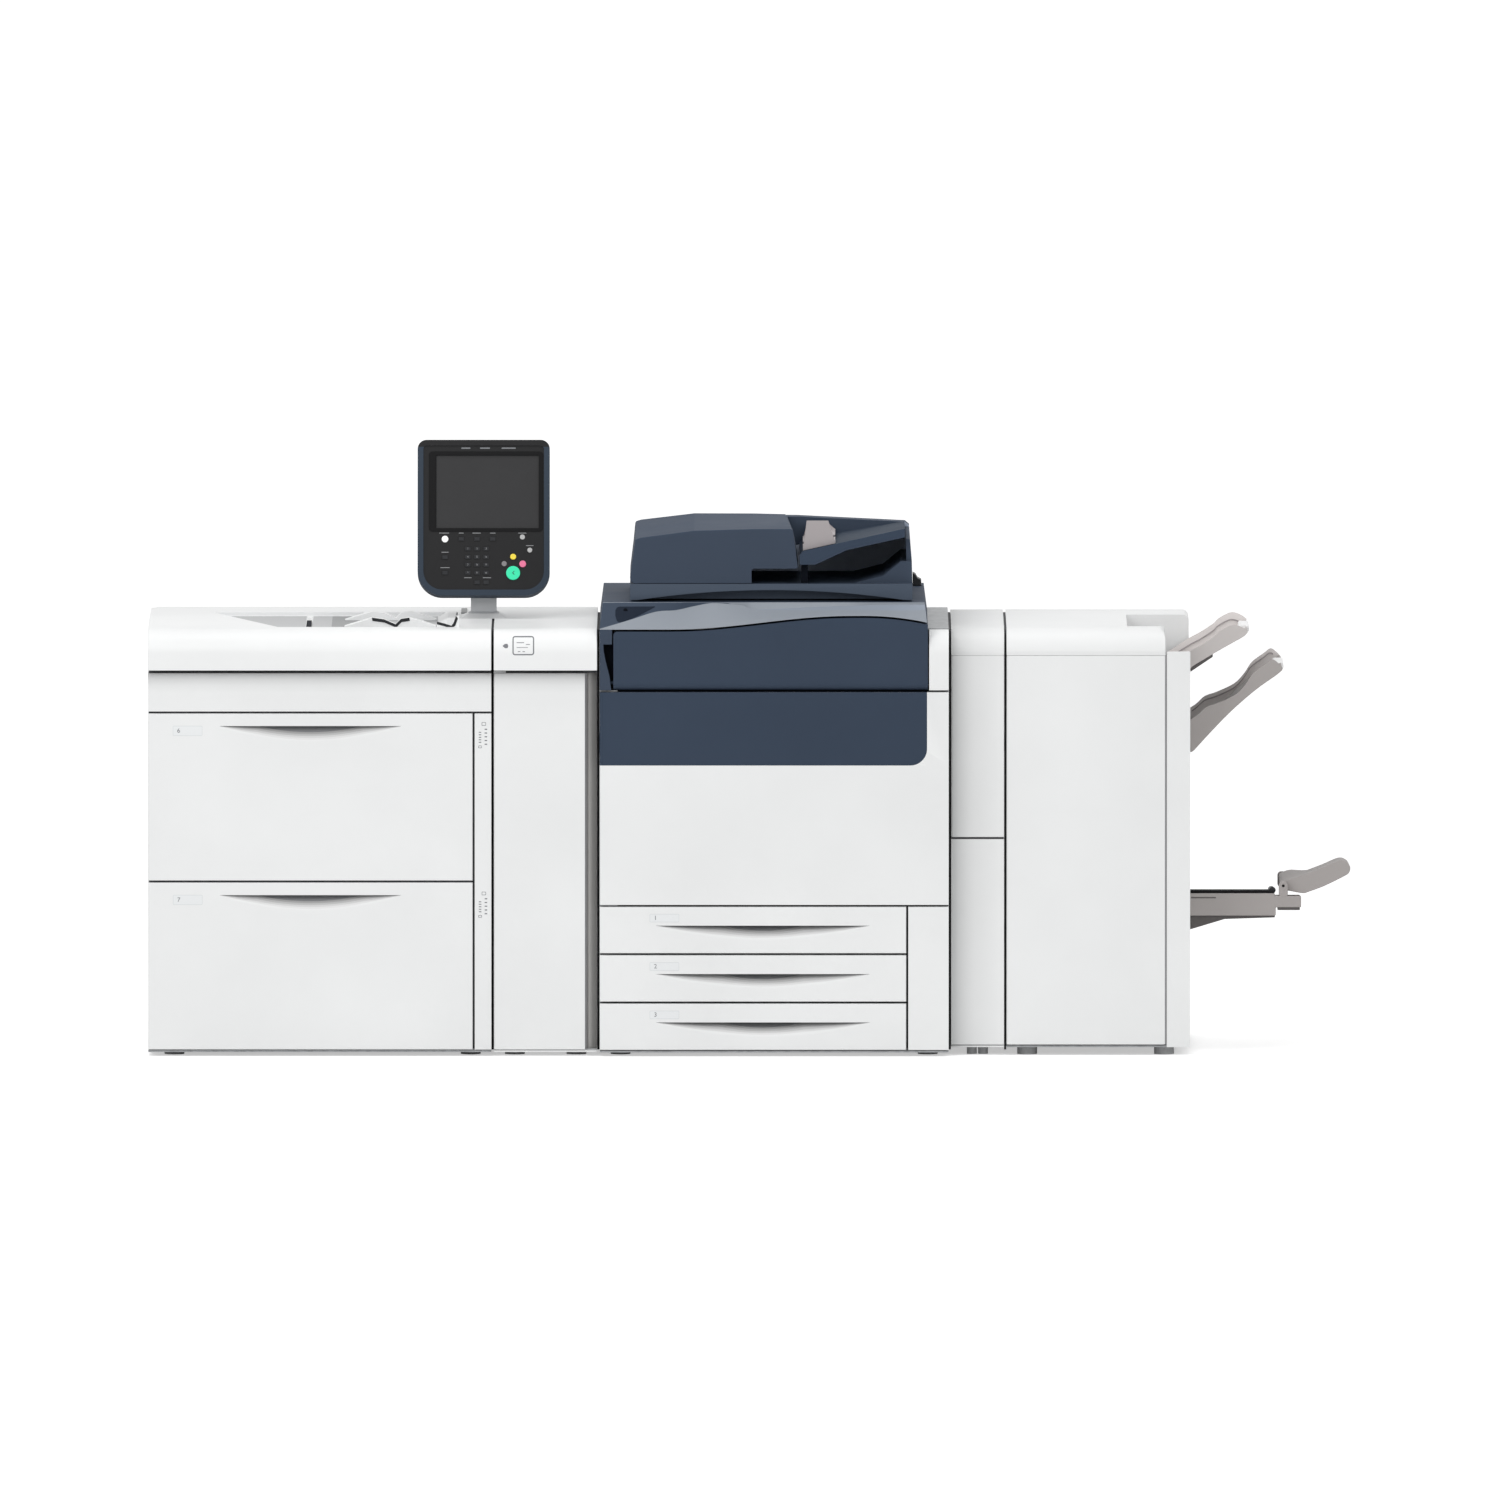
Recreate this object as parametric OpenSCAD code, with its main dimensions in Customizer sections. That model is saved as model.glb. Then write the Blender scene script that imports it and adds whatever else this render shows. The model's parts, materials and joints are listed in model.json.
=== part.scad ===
// Digital production printer: feeder, interface, print engine, transport and finisher
// in one row. +Z is up, the fronts face -Y, the origin is under the middle of the machine.

/* [Overall] */
// Depth of the machine over bezels and rear covers
machine_d = 790; // [760:5:830]
// Height of the cabinet tops
deck_z = 1028; // [1000:2:1060]
// Height of the skirts above the floor
foot_h = 10; // [8:1:14]
// Gap between two cabinets
module_gap = 6; // [4:1:8]
// Gap between neighbouring front panels
seam = 5; // [3:0.5:6]
// Sheet thickness of frames, bins and shelves
wall = 3; // [2:0.5:4]
// Depth of the rear covers
rear_cover_d = 25; // [20:1:30]
// Clearance beside and under sliding pieces
slide_gap = 0.4; // [0.3:0.1:0.6]
// Clearance between a panel's back and the frame
plane_gap = 1; // [0.5:0.1:2]

/* [Feeder] */
// Width of the two-drawer feeder
feeder_w = 824; // [790:2:860]
// Thickness of the feeder's side cover
side_cover_t = 12; // [8:1:16]
// Thickness of the drawer fronts and the interface door
front_t = 29; // [27:1:34]
// Reach of the bull-nose bezel in front of the drawers
bezel_overhang = 22; // [16:1:28]
// Height of the bull-nose bezel
bezel_h = 98; // [90:1:110]
// Radius of the bezel's rounded nose
nose_r = 58; // [45:1:64]
// Shadow gap under the bezel
bezel_gap = 8; // [6:0.5:12]
// Height of the fixed panel above the drawers
upper_panel_h = 92; // [80:2:100]
// Width of the status strip beside the drawers
status_w = 40; // [34:1:48]
// Room behind the closed feeder bins
bin_room = 31; // [25:1:60]
// Thickness of the cabinet top covers
top_t = 18; // [16:1:24]
// Depth of the sunk bypass floor
bypass_sink = 10; // [8:1:14]

/* [Interface and control panel] */
// Width of the interface cabinet
interface_w = 248; // [236:2:260]
// Width of the recessed strip beside the interface door
filler_w = 24; // [20:1:28]
// Width of the control panel
panel_w = 318; // [300:2:330]
// Height of the control panel along its face
panel_h = 378; // [366:2:390]
// Thickness of the control panel
panel_t = 46; // [42:1:56]
// Backward lean of the control panel in degrees
panel_lean = 12; // [6:1:18]
// Height of the panel's tilt pin above the deck
pivot_h = 122; // [116:1:134]
// Travel of the control panel's buttons
key_travel = 1.5; // [1:0.1:1.8]

/* [Engine] */
// Width of the print engine
engine_w = 838; // [810:2:866]
// Step of the engine fronts behind the bezel's nose
engine_setback = 8; // [4:1:12]
// Height of a paper tray front
tray_h = 111.5; // [106:0.5:116]
// Width of the fixed cover right of the paper trays
lower_cover_w = 97; // [84:1:117]
// Room behind the closed paper trays
tray_room = 111; // [90:1:160]
// Height of the engine's front door
door_h = 511.5; // [490:0.5:520]
// Height of the dark inlay on the front door
inlay_h = 176; // [160:2:190]
// Height of the toner cover at its left end
toner_h = 141; // [134:1:146]
// Rise of the wave along the toner cover's top
wave_rise = 33; // [24:1:38]
// Width of the fixed strip right of the toner cover
right_strip_w = 47; // [40:1:54]
// Width of the dark strip left of the toner cover
left_strip_w = 30; // [26:1:36]

/* [Scanner and document feeder] */
// Height of the scanner housing above the deck
scanner_h = 61; // [56:1:70]
// Length of the platen glass
glass_w = 450; // [432:2:470]
// Depth of the platen glass
glass_d = 320; // [304:2:340]
// Width of the document feeder
adf_w = 678; // [660:2:690]
// Depth of the document feeder
adf_d = 510; // [490:2:530]
// Thickness of the document feeder's base
adf_base_t = 39; // [36:1:44]
// Height of the feeder cover above the base
adf_cover_h = 132; // [124:1:140]
// Length of the feeder cover
adf_cover_w = 403; // [390:1:416]

/* [Transport and finisher] */
// Width of the transport cabinet
transport_w = 127; // [117:1:137]
// Width of the finisher
finisher_w = 441; // [425:1:460]
// Step of the finisher's front behind the bezel's nose
finisher_setback = 45; // [40:1:52]
// Depth of the finisher and transport cabinets
finisher_d = 660; // [640:5:700]
// Height of the finisher's skirts above the floor
finisher_foot_h = 20; // [16:1:24]
// Thickness of the finisher's doors
finisher_door_t = 25; // [22:1:28]
// Radius of the finisher's rounded top edge
finisher_nose_r = 60; // [50:1:64]
// Width of the pillar beside the finisher door
pillar_w = 56; // [50:1:62]
// Reach of the booklet tray and its flap beyond the finisher
booklet_reach = 388; // [380:2:400]
// Drop of the stacker tray as it fills
stacker_drop = 280; // [220:5:290]

/* [Hidden] */
$fn = 48;
over = 2;                    // overrun of cuts
seat_gap = 0.3;              // running gap over a ledge or seat
total_w = feeder_w + interface_w + engine_w + transport_w + finisher_w
    + 4 * module_gap + booklet_reach;
x_f0 = -total_w / 2;
x_f1 = x_f0 + feeder_w;
x_i0 = x_f1 + module_gap;
x_i1 = x_i0 + interface_w;
x_e0 = x_i1 + module_gap;
x_e1 = x_e0 + engine_w;
x_t0 = x_e1 + module_gap;
x_t1 = x_t0 + transport_w;
x_n0 = x_t1 + module_gap;
x_n1 = x_n0 + finisher_w;
front_y = -machine_d / 2;
rear_y = machine_d / 2;
panel_y = front_y + bezel_overhang;
frame_y0 = panel_y + front_t + plane_gap;
frame_y1 = rear_y - rear_cover_d;
frame_top = deck_z - top_t;
engine_y = front_y + engine_setback;
engine_front_t = frame_y0 - plane_gap - engine_y;
back_of_fronts = frame_y0 - plane_gap;
bin_d = frame_y1 - wall - bin_room - back_of_fronts;

// Feeder levels
lip_h = 6;
panel_z0 = foot_h + lip_h;
bezel_z0 = deck_z - bezel_h;
upper_z1 = bezel_z0 - bezel_gap;
upper_z0 = upper_z1 - upper_panel_h;
drawer_h = (upper_z0 - panel_z0) / 2 - seam;
lower_z = panel_z0;
upper_z = panel_z0 + drawer_h + seam;
drawer_x1 = x_f1 - status_w - seam;
bay_x0 = x_f0 + side_cover_t + wall;
bay_x1 = drawer_x1 - wall;
shelf_lift = (seam - wall) / 2;
runner_w = 18;
ledge_w = 8;
ledge_t = 4;
bin_x0 = bay_x0 + runner_w;
bin_x1 = bay_x1 - runner_w;
bin_lift = 24;               // bin floor above the drawer front's lower edge
bin_head = 36;               // room between bin rim and the shelf above
bin_h = drawer_h - bin_lift - bin_head;
runner_head = 34;
lift_t = 4;
lift_slot_w = 60;
lift_slot_share = 0.5;
handle_w = 437;
handle_sag = 42;
handle_drop = 28;            // handle's flat edge below the front's top edge
scoop_depth = 20;
pocket_w = 202;
pocket_sag = 17;
pocket_up = 10;
pocket_depth = 16;
tray_handle_w = 515;
tray_handle_sag = 36;
tray_handle_drop = 45;
tray_pocket_w = 164;
tray_pocket_sag = 16;
top_y0 = front_y + nose_r + over;

// Bypass on the feeder's top
bypass_left = 150;
bypass_right = 83;
bypass_x0 = x_f0 + bypass_left;
bypass_x1 = x_f1 - bypass_right;
bypass_slant = 163;
bypass_front = 40;
bypass_y0 = top_y0 + bypass_front;
bypass_d = 505;
bypass_floor = deck_z - bypass_sink;
bypass_slot_reach = 230;
bypass_slot_x = bypass_x0 + bypass_slot_reach;
bypass_slot_w = 12;
bypass_slot_deep = 4;
guide_len = 220;
guide_w = 34;
guide_h = 16;
guide_reach = 320;
guide_x0 = bypass_x0 + guide_reach;
guide_mid_y = bypass_y0 + bypass_d / 2;
guide_spread = 130;
head_w = 46;
head_h = 13;
head_gap = 4;

// Docking blocks that join neighbouring cabinets
dock_w = 80;
dock_h = 40;
dock_low = 240;
dock_high = 700;
dock_zs = [foot_h + dock_low, foot_h + dock_high];

module box(lo, hi) translate(lo) cube(hi - lo);

// Blocks in the gap left of x, face to face with both cabinets
module docking(x) for (z = dock_zs) box([x - module_gap, -dock_w / 2, z], [x, dock_w / 2, z + dock_h]);

// A profile in Y and Z, run along X
module along_x(x0, x1) translate([x0, 0, 0]) rotate([90, 0, 90]) linear_extrude(x1 - x0) children();

// A profile in X and Z, run along Y
module along_y(y0, y1) translate([0, y1, 0]) rotate([90, 0, 0]) linear_extrude(y1 - y0) children();

module rect(lo, hi) translate(lo) square(hi - lo);

// Segment of a circle below a flat edge, cut into a front: wide at the face, nothing at depth
module scoop(xc, z_top, w, sag, y, depth) {
    r = (w * w / 4 + sag * sag) / (2 * sag);
    grow = sag * over / depth;
    intersection() {
        translate([xc, y - over, z_top + r - sag]) rotate([-90, 0, 0])
            cylinder(h = depth + over, r1 = r + grow, r2 = r - sag, $fn = 96);
        box([xc - w, y - 2 * over, z_top - 2 * sag], [xc + w, y + depth + over, z_top]);
    }
}

// Finger pocket in the middle of a scoop, undercut behind the flat edge
module pocket(xc, z_top, w, sag, y, depth) {
    r = (w * w / 4 + sag * sag) / (2 * sag);
    intersection() {
        translate([xc, y - over, z_top + r - sag]) rotate([-90, 0, 0])
            cylinder(h = depth + over, r = r, $fn = 96);
        union() {
            box([xc - w, y - 2 * over, z_top - 2 * sag], [xc + w, y + depth + over, z_top]);
            box([xc - w / 2, y + depth / 3, z_top - sag], [xc + w / 2, y + depth, z_top + pocket_up]);
        }
    }
}

module handled_front(x0, x1, z0, z1, y, t, xc, w, sag, drop, pw, psag) {
    difference() {
        box([x0, y, z0], [x1, y + t, z1]);
        scoop(xc, z1 - drop, w, sag, y, scoop_depth);
        pocket(xc, z1 - drop, pw, psag, y, scoop_depth + pocket_depth / 4);
    }
}

// Open-topped bin
module bin(x0, x1, y0, y1, z0, z1) difference() {
    box([x0, y0, z0], [x1, y1, z1]);
    box([x0 + wall, y0 + wall, z0 + wall], [x1 - wall, y1 - wall, z1 + over]);
}

// Plate that lifts a paper stack, with a slot for the feed head's finger
module lift_plate(x0, x1, y0, y1, z0) {
    gap = wall + slide_gap;
    mid = (x0 + x1) / 2;
    difference() {
        box([x0 + gap, y0 + gap, z0], [x1 - gap, y1 - gap, z0 + lift_t]);
        box([mid - lift_slot_w / 2, y0, z0 - over],
            [mid + lift_slot_w / 2, y0 + (y1 - y0) * lift_slot_share, z0 + lift_t + over]);
    }
}

// Two telescopic runners, fixed to the bay's sides, each with a ledge under the bin
module runners(x0, x1, bx0, bx1, z_bin, y1) {
    y0 = frame_y0 + wall;
    z0 = z_bin - seat_gap - ledge_t;
    for (side = [[x0, bx0, 1], [x1, bx1, -1]]) {
        inner = side[1] - side[2] * slide_gap;
        deep = side[1] + side[2] * ledge_w;
        box([min(side[0], inner), y0, z0], [max(side[0], inner), y1, z0 + runner_head]);
        box([min(side[0], deep), y0, z0], [max(side[0], deep), y1, z0 + ledge_t]);
    }
}

module feeder_frame() {
    zs = [foot_h + wall, upper_z - seam + shelf_lift, upper_z0 - seam + shelf_lift, frame_top - wall];
    color("gainsboro") difference() {
        box([x_f0 + side_cover_t, frame_y0, foot_h], [x_f1, frame_y1, frame_top]);
        for (i = [0:2])
            box([bay_x0, frame_y0 - over, i == 0 ? zs[0] : zs[i] + wall],
                [bay_x1, frame_y1 - wall, i == 2 ? zs[3] : zs[i + 1]]);
        box([bay_x1 + wall, frame_y0 - over, zs[0]], [x_f1 - wall, frame_y1 - wall, zs[3]]);
    }
    color("gainsboro") box([x_f0, panel_y + over, foot_h], [x_f1, frame_y0, panel_z0 - over]);
}

module feeder_side_cover() difference() {
    box([x_f0, frame_y0, foot_h], [x_f0 + side_cover_t, rear_y, frame_top]);
    box([x_f0 + side_cover_t / 2, frame_y0 + wall, foot_h - over],
        [x_f0 + side_cover_t + over, frame_y1, frame_top - wall]);
}

module bypass_outline(grow) polygon([
    [bypass_x0 - grow, bypass_y0 + bypass_d + grow],
    [bypass_x1 + grow, bypass_y0 + bypass_d + grow],
    [bypass_x1 + grow, bypass_y0 - grow],
    [bypass_x0 + bypass_slant - grow, bypass_y0 - grow]]);

module feeder_top_cover() color("whitesmoke") difference() {
    box([x_f0, top_y0, frame_top], [x_f1, frame_y1, deck_z]);
    translate([0, 0, bypass_floor]) linear_extrude(bypass_sink + over) bypass_outline(0);
    box([bypass_slot_x, bypass_y0 + wall, bypass_floor - bypass_slot_deep],
        [bypass_slot_x + bypass_slot_w, bypass_y0 + bypass_d - wall, bypass_floor + over]);
}

// Side guide of the bypass; side is -1 at the front and 1 at the rear
module bypass_guide(side) {
    y = guide_mid_y + side * guide_spread;
    color("dimgray") translate([0, side < 0 ? y : y - guide_w, 0]) difference() {
        box([guide_x0, 0, bypass_floor + seat_gap], [guide_x0 + guide_len, guide_w, bypass_floor + guide_h]);
        box([guide_x0 + wall, side < 0 ? -over : wall, bypass_floor + guide_h / 2],
            [guide_x0 + guide_len - wall, side < 0 ? guide_w - wall : guide_w + over,
             bypass_floor + guide_h + over]);
    }
}
module bypass_guide_front() bypass_guide(-1);
module bypass_guide_rear() bypass_guide(1);

module bypass_feed_head() color("dimgray")
    along_y(bypass_y0 + wall, bypass_y0 + bypass_d - wall) polygon([
        [bypass_x1 - head_w, bypass_floor],
        [bypass_x1 - head_gap, bypass_floor],
        [bypass_x1 - head_gap, bypass_floor + head_h],
        [bypass_x1 - head_w / 2, bypass_floor + head_h]]);

module bezel_profile() difference() {
    union() {
        translate([front_y + nose_r, deck_z - nose_r]) circle(nose_r, $fn = 96);
        rect([front_y, bezel_z0], [front_y + 2 * nose_r, deck_z - nose_r]);
        rect([front_y + nose_r, bezel_z0], [front_y + 2 * nose_r, deck_z]);
    }
    rect([back_of_fronts, bezel_z0 - nose_r], [front_y + 3 * nose_r, frame_top]);
    rect([top_y0, bezel_z0 - nose_r], [front_y + 3 * nose_r, deck_z + over]);
    rect([front_y - over, bezel_z0 - 2 * nose_r], [back_of_fronts, bezel_z0]);
}

module front_bezels() color("white") {
    along_x(x_f0, x_f1) bezel_profile();
    along_x(x_i0, x_i1) bezel_profile();
}

module drawer_runners() color("silver") {
    for (z = [lower_z, upper_z])
        runners(bay_x0, bay_x1, bin_x0, bin_x1, z + bin_lift, back_of_fronts + bin_d);
}

module feeder_front(z) color("whitesmoke")
    handled_front(x_f0, drawer_x1, z, z + drawer_h, panel_y, front_t, (x_f0 + drawer_x1) / 2,
        handle_w, handle_sag, handle_drop, pocket_w, pocket_sag);
module feeder_bin(z) color("lightgray")
    bin(bin_x0, bin_x1, back_of_fronts, back_of_fronts + bin_d, z + bin_lift, z + bin_lift + bin_h);
module feeder_lift(z) color("darkgray")
    lift_plate(bin_x0, bin_x1, back_of_fronts, back_of_fronts + bin_d, z + bin_lift + wall + seat_gap);
module upper_drawer_front() feeder_front(upper_z);
module lower_drawer_front() feeder_front(lower_z);
module upper_drawer_bin() feeder_bin(upper_z);
module lower_drawer_bin() feeder_bin(lower_z);
module upper_lift_plate() feeder_lift(upper_z);
module lower_lift_plate() feeder_lift(lower_z);

// Door hinged at its left end: round about its pin at the back, a small radius at the front
pin_d = 8;
pin_reach = 12;
pin_fit = 0.3;
door_corner_r = 6;
lip_back = over;
module door(x0, x1, z0, z1, y, t) difference() {
    translate([0, 0, z0]) linear_extrude(z1 - z0) {
        translate([x0 + t / 2, y + t / 2]) circle(d = t);
        rect([x0 + t / 2, y], [x1, y + t]);
        rect([x0, y + door_corner_r], [x0 + t / 2, y + t / 2]);
        rect([x0 + door_corner_r, y], [x0 + t / 2, y + t / 2]);
        translate([x0 + door_corner_r, y + door_corner_r]) circle(door_corner_r);
    }
    for (z = [z0 - over, z1 - pin_reach - plane_gap])
        translate([x0 + t / 2, y + t / 2, z])
            cylinder(h = pin_reach + plane_gap + over, d = pin_d + 2 * pin_fit);
}

// Plate in the seam above or below a door, with the pin that enters the door
module hinge_plate(x0, y, t, z, back, up) {
    box([x0, y + t / 2 - pin_d, z], [x0 + t, back, z + wall]);
    translate([x0 + t / 2, y + t / 2, up ? z : z - pin_reach])
        cylinder(h = pin_reach + wall, d = pin_d);
}

// Base lip under a row of fronts
module base_lip(x0, x1, y, back, z0) box([x0, y + lip_back, z0], [x1, back, z0 + lip_h - over]);

interface_door_x1 = x_i1 - filler_w - seam;
filler_t = 4;

module interface_frame() color("gainsboro") {
    difference() {
        box([x_i0, frame_y0, foot_h], [x_i1, frame_y1, frame_top]);
        box([x_i0 + wall, frame_y0 - over, foot_h + wall],
            [x_i1 - filler_w, frame_y1 - wall, frame_top - wall]);
    }
    box([x_i0, top_y0, frame_top], [x_i1, frame_y1, deck_z]);
    docking(x_i0);
    docking(x_e0);
    box([x_i1 - filler_w, frame_y0 - filler_t, panel_z0], [x_i1, frame_y0, upper_z1]);
    base_lip(x_i0, x_i1, panel_y, frame_y0, foot_h);
    hinge_plate(x_i0, panel_y, front_t, panel_z0 - over - wall, frame_y0, true);
    hinge_plate(x_i0, panel_y, front_t, upper_z1 + shelf_lift, frame_y0, false);
}

module interface_door() color("whitesmoke")
    door(x_i0, interface_door_x1, panel_z0, upper_z1, panel_y, front_t);

// Control panel, drawn upright about its tilt pin and then leant back
panel_x = x_f1 - status_w / 2;
stand_y = 50;
panel_below = 80;            // from the tilt pin down to the lower edge
panel_back = 18;             // from the tilt pin forward to the panel's back
panel_top_r = 22;
panel_low_r = 60;
rim_w = 14;
face_t = 4;
rim_proud = 2;
panel_face_y = -panel_back - panel_t;
neck_w = 62;
neck_d = 32;
neck_base_w = 110;
neck_base_d = 130;
neck_base_t = 14;
neck_head_w = 40;
neck_head_r = 16;
neck_drop = 26;
lug_w = 13;
lug_r = 13;
tilt_pin_d = 10;
screen_x = 9.5;
screen_w = 248;
screen_h = 178;
screen_v = 163;              // lower edge of the screen above the panel's lower edge
screen_t = 2;
mat_w = 170;
mat_x = -37;
mat_v = 22;
mat_h = 132;
mat_t = 3;
key_size = [13, 9];
key_proud = 1.5;
key_fit = 0.4;
keys = concat(
    [for (c = [-38, -16, 6], r = [113.5, 93.5, 74.5, 55]) [c, r]],
    [[-16, 32], [6, 32], [-93, 93], [-93, 55], [-54, 137.5], [-16, 137.5], [22, 137.5]]);
button_fit = 0.3;
button_seat = 8;
button_room = 0.5;
// Name, place across, height above the lower edge, radius, height above the face
home_at = [-93, 137, 8, 2];
interrupt_at = [49.5, 77, 6.5, 2];
clear_at = [71, 94, 7.2, 2];
stop_at = [94, 76.5, 8.2, 2];
start_at = [71, 54.5, 16.8, 3];
power_at = [111, 110, 6, 2];
buttons = [home_at, interrupt_at, clear_at, stop_at, start_at, power_at];

module place_panel() translate([panel_x, stand_y, deck_z + pivot_h]) rotate([-panel_lean, 0, 0]) children();

module panel_outline(inset) {
    w = panel_w / 2 - inset;
    z0 = -panel_below + inset;
    z1 = -panel_below + panel_h - inset;
    low = panel_low_r - inset;
    top = panel_top_r - inset;
    rect([-w, z0 + low], [w, z1 - top]);
    rect([-w + low, z0], [w - low, z0 + low]);
    rect([-w + top, z1 - top], [w - top, z1]);
    for (s = [-1, 1]) {
        translate([s * (w - low), z0 + low]) circle(low, $fn = 72);
        translate([s * (w - top), z1 - top]) circle(top);
    }
}

module round_on_panel(at, r, y0, y1)
    translate([at[0], y1, at[1] - panel_below]) rotate([90, 0, 0]) cylinder(h = y1 - y0, r = r);

module panel_stand() color("silver") difference() {
    union() {
        translate([panel_x, stand_y, deck_z]) {
            box([-neck_base_w / 2, -neck_base_d / 2, 0], [neck_base_w / 2, neck_base_d / 2, neck_base_t]);
            box([-neck_w / 2, -neck_d / 2, 0], [neck_w / 2, neck_d / 2, pivot_h - neck_drop]);
            box([-neck_head_w / 2, -neck_head_r, 0], [neck_head_w / 2, neck_head_r, pivot_h]);
        }
        translate([panel_x - neck_head_w / 2, stand_y, deck_z + pivot_h]) rotate([0, 90, 0])
            cylinder(h = neck_head_w, r = neck_head_r);
    }
    translate([panel_x - neck_w, stand_y, deck_z + pivot_h]) rotate([0, 90, 0])
        cylinder(h = 2 * neck_w, d = tilt_pin_d + 2 * pin_fit);
}

module panel_housing() color("slategray") place_panel() {
    difference() {
        along_y(panel_face_y - rim_proud, -panel_back) panel_outline(0);
        along_y(panel_face_y - 2 * rim_proud, panel_face_y + face_t) panel_outline(rim_w);
        box([mat_x - mat_w / 2, panel_face_y, mat_v - panel_below],
            [mat_x + mat_w / 2, panel_face_y + face_t + mat_t, mat_v + mat_h - panel_below]);
        for (b = buttons) round_on_panel(b, b[2] + button_fit, panel_face_y,
            panel_face_y + button_seat + key_travel + button_room);
    }
    for (s = [-1, 1]) {
        x = s * (neck_head_w / 2 + slide_gap + lug_w / 2);
        translate([x - lug_w / 2, 0, 0]) {
            rotate([0, 90, 0]) cylinder(h = lug_w, r = lug_r);
            box([0, -panel_back - over, -lug_r], [lug_w, 0, lug_r]);
        }
    }
    translate([-neck_head_w / 2 - lug_w, 0, 0]) rotate([0, 90, 0])
        cylinder(h = neck_head_w + 2 * lug_w, d = tilt_pin_d);
}

module panel_face() color("dimgray") place_panel() difference() {
    along_y(panel_face_y, panel_face_y + face_t) panel_outline(rim_w);
    box([screen_x - screen_w / 2, panel_face_y - over, screen_v - panel_below],
        [screen_x + screen_w / 2, panel_face_y + face_t + over, screen_v + screen_h - panel_below]);
    for (b = buttons) round_on_panel(b, b[2] + button_fit, panel_face_y - over, panel_face_y + face_t + over);
    for (k = keys) translate([k[0], 0, k[1] - panel_below])
        box([-key_size[0] / 2 - key_fit, panel_face_y - over, -key_size[1] / 2 - key_fit],
            [key_size[0] / 2 + key_fit, panel_face_y + face_t + over, key_size[1] / 2 + key_fit]);
}

module touch_screen() color("gray") place_panel()
    translate([screen_x, panel_face_y + face_t, screen_v - panel_below])
        box([-screen_w / 2 + key_fit, -screen_t, key_fit], [screen_w / 2 - key_fit, 0, screen_h - key_fit]);

module keypad_mat() color("darkslategray") place_panel() {
    difference() {
        box([mat_x - mat_w / 2, panel_face_y + face_t, mat_v - panel_below],
            [mat_x + mat_w / 2, panel_face_y + face_t + mat_t, mat_v + mat_h - panel_below]);
        for (b = buttons)
            round_on_panel(b, b[2] + 2 * button_fit, panel_face_y, panel_face_y + 2 * button_seat);
    }
    for (k = keys) translate([k[0], 0, k[1] - panel_below])
        box([-key_size[0] / 2, panel_face_y - key_proud, -key_size[1] / 2],
            [key_size[0] / 2, panel_face_y + face_t, key_size[1] / 2]);
}

module button(at) place_panel()
    round_on_panel(at, at[2], panel_face_y - at[3], panel_face_y + button_seat);
module home_button() color("whitesmoke") button(home_at);
module interrupt_button() color("silver") button(interrupt_at);
module clear_button() color("gold") button(clear_at);
module stop_button() color("hotpink") button(stop_at);
module start_button() color("mediumseagreen") button(start_at);
module power_button() color("silver") button(power_at);

// Print engine
cover_x0 = x_e1 - lower_cover_w;
tray_x1 = cover_x0 - seam;
door_z0 = panel_z0 + 3 * (tray_h + seam);
door_z1 = door_z0 + door_h;
toner_z0 = door_z1 + seam;
toner_z1 = toner_z0 + toner_h;
toner_gap = 3;
toner_x0 = x_e0 + left_strip_w + toner_gap;
toner_x1 = x_e1 - right_strip_w - toner_gap;
toner_t = 40;
toner_hinge_r = 17;
toner_pin_reach = 10;
wave_steps = 32;
wave_shares = [0.18, 0.58, 0.8, 0.5];   // start and run of the rise, start and depth of the fall
tray_bin_d = frame_y1 - wall - tray_room - back_of_fronts;
tray_bin_lift = 6;
tray_bin_head = 10;
tray_rail_w = 14;
tray_handle_shift = 24;
process_lift = 190;
process_z = door_z0 + process_lift;
inlay_t = 3;
inlay_r = 40;
inlay_x1 = x_e1 - right_strip_w - seam;

function clamp(v) = max(0, min(1, v));
function wave(t) = toner_z1 + wave_rise
    * ((1 - cos(180 * clamp((t - wave_shares[0]) / wave_shares[1]))) / 2
    - wave_shares[3] * pow(clamp((t - wave_shares[2]) / (1 - wave_shares[2])), 2));
function wave_points(lift, x0, x1) = [for (i = [0:wave_steps])
    [x0 + (x1 - x0) * i / wave_steps, wave(i / wave_steps) + lift]];
function tray_z(i) = panel_z0 + i * (tray_h + seam);

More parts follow.
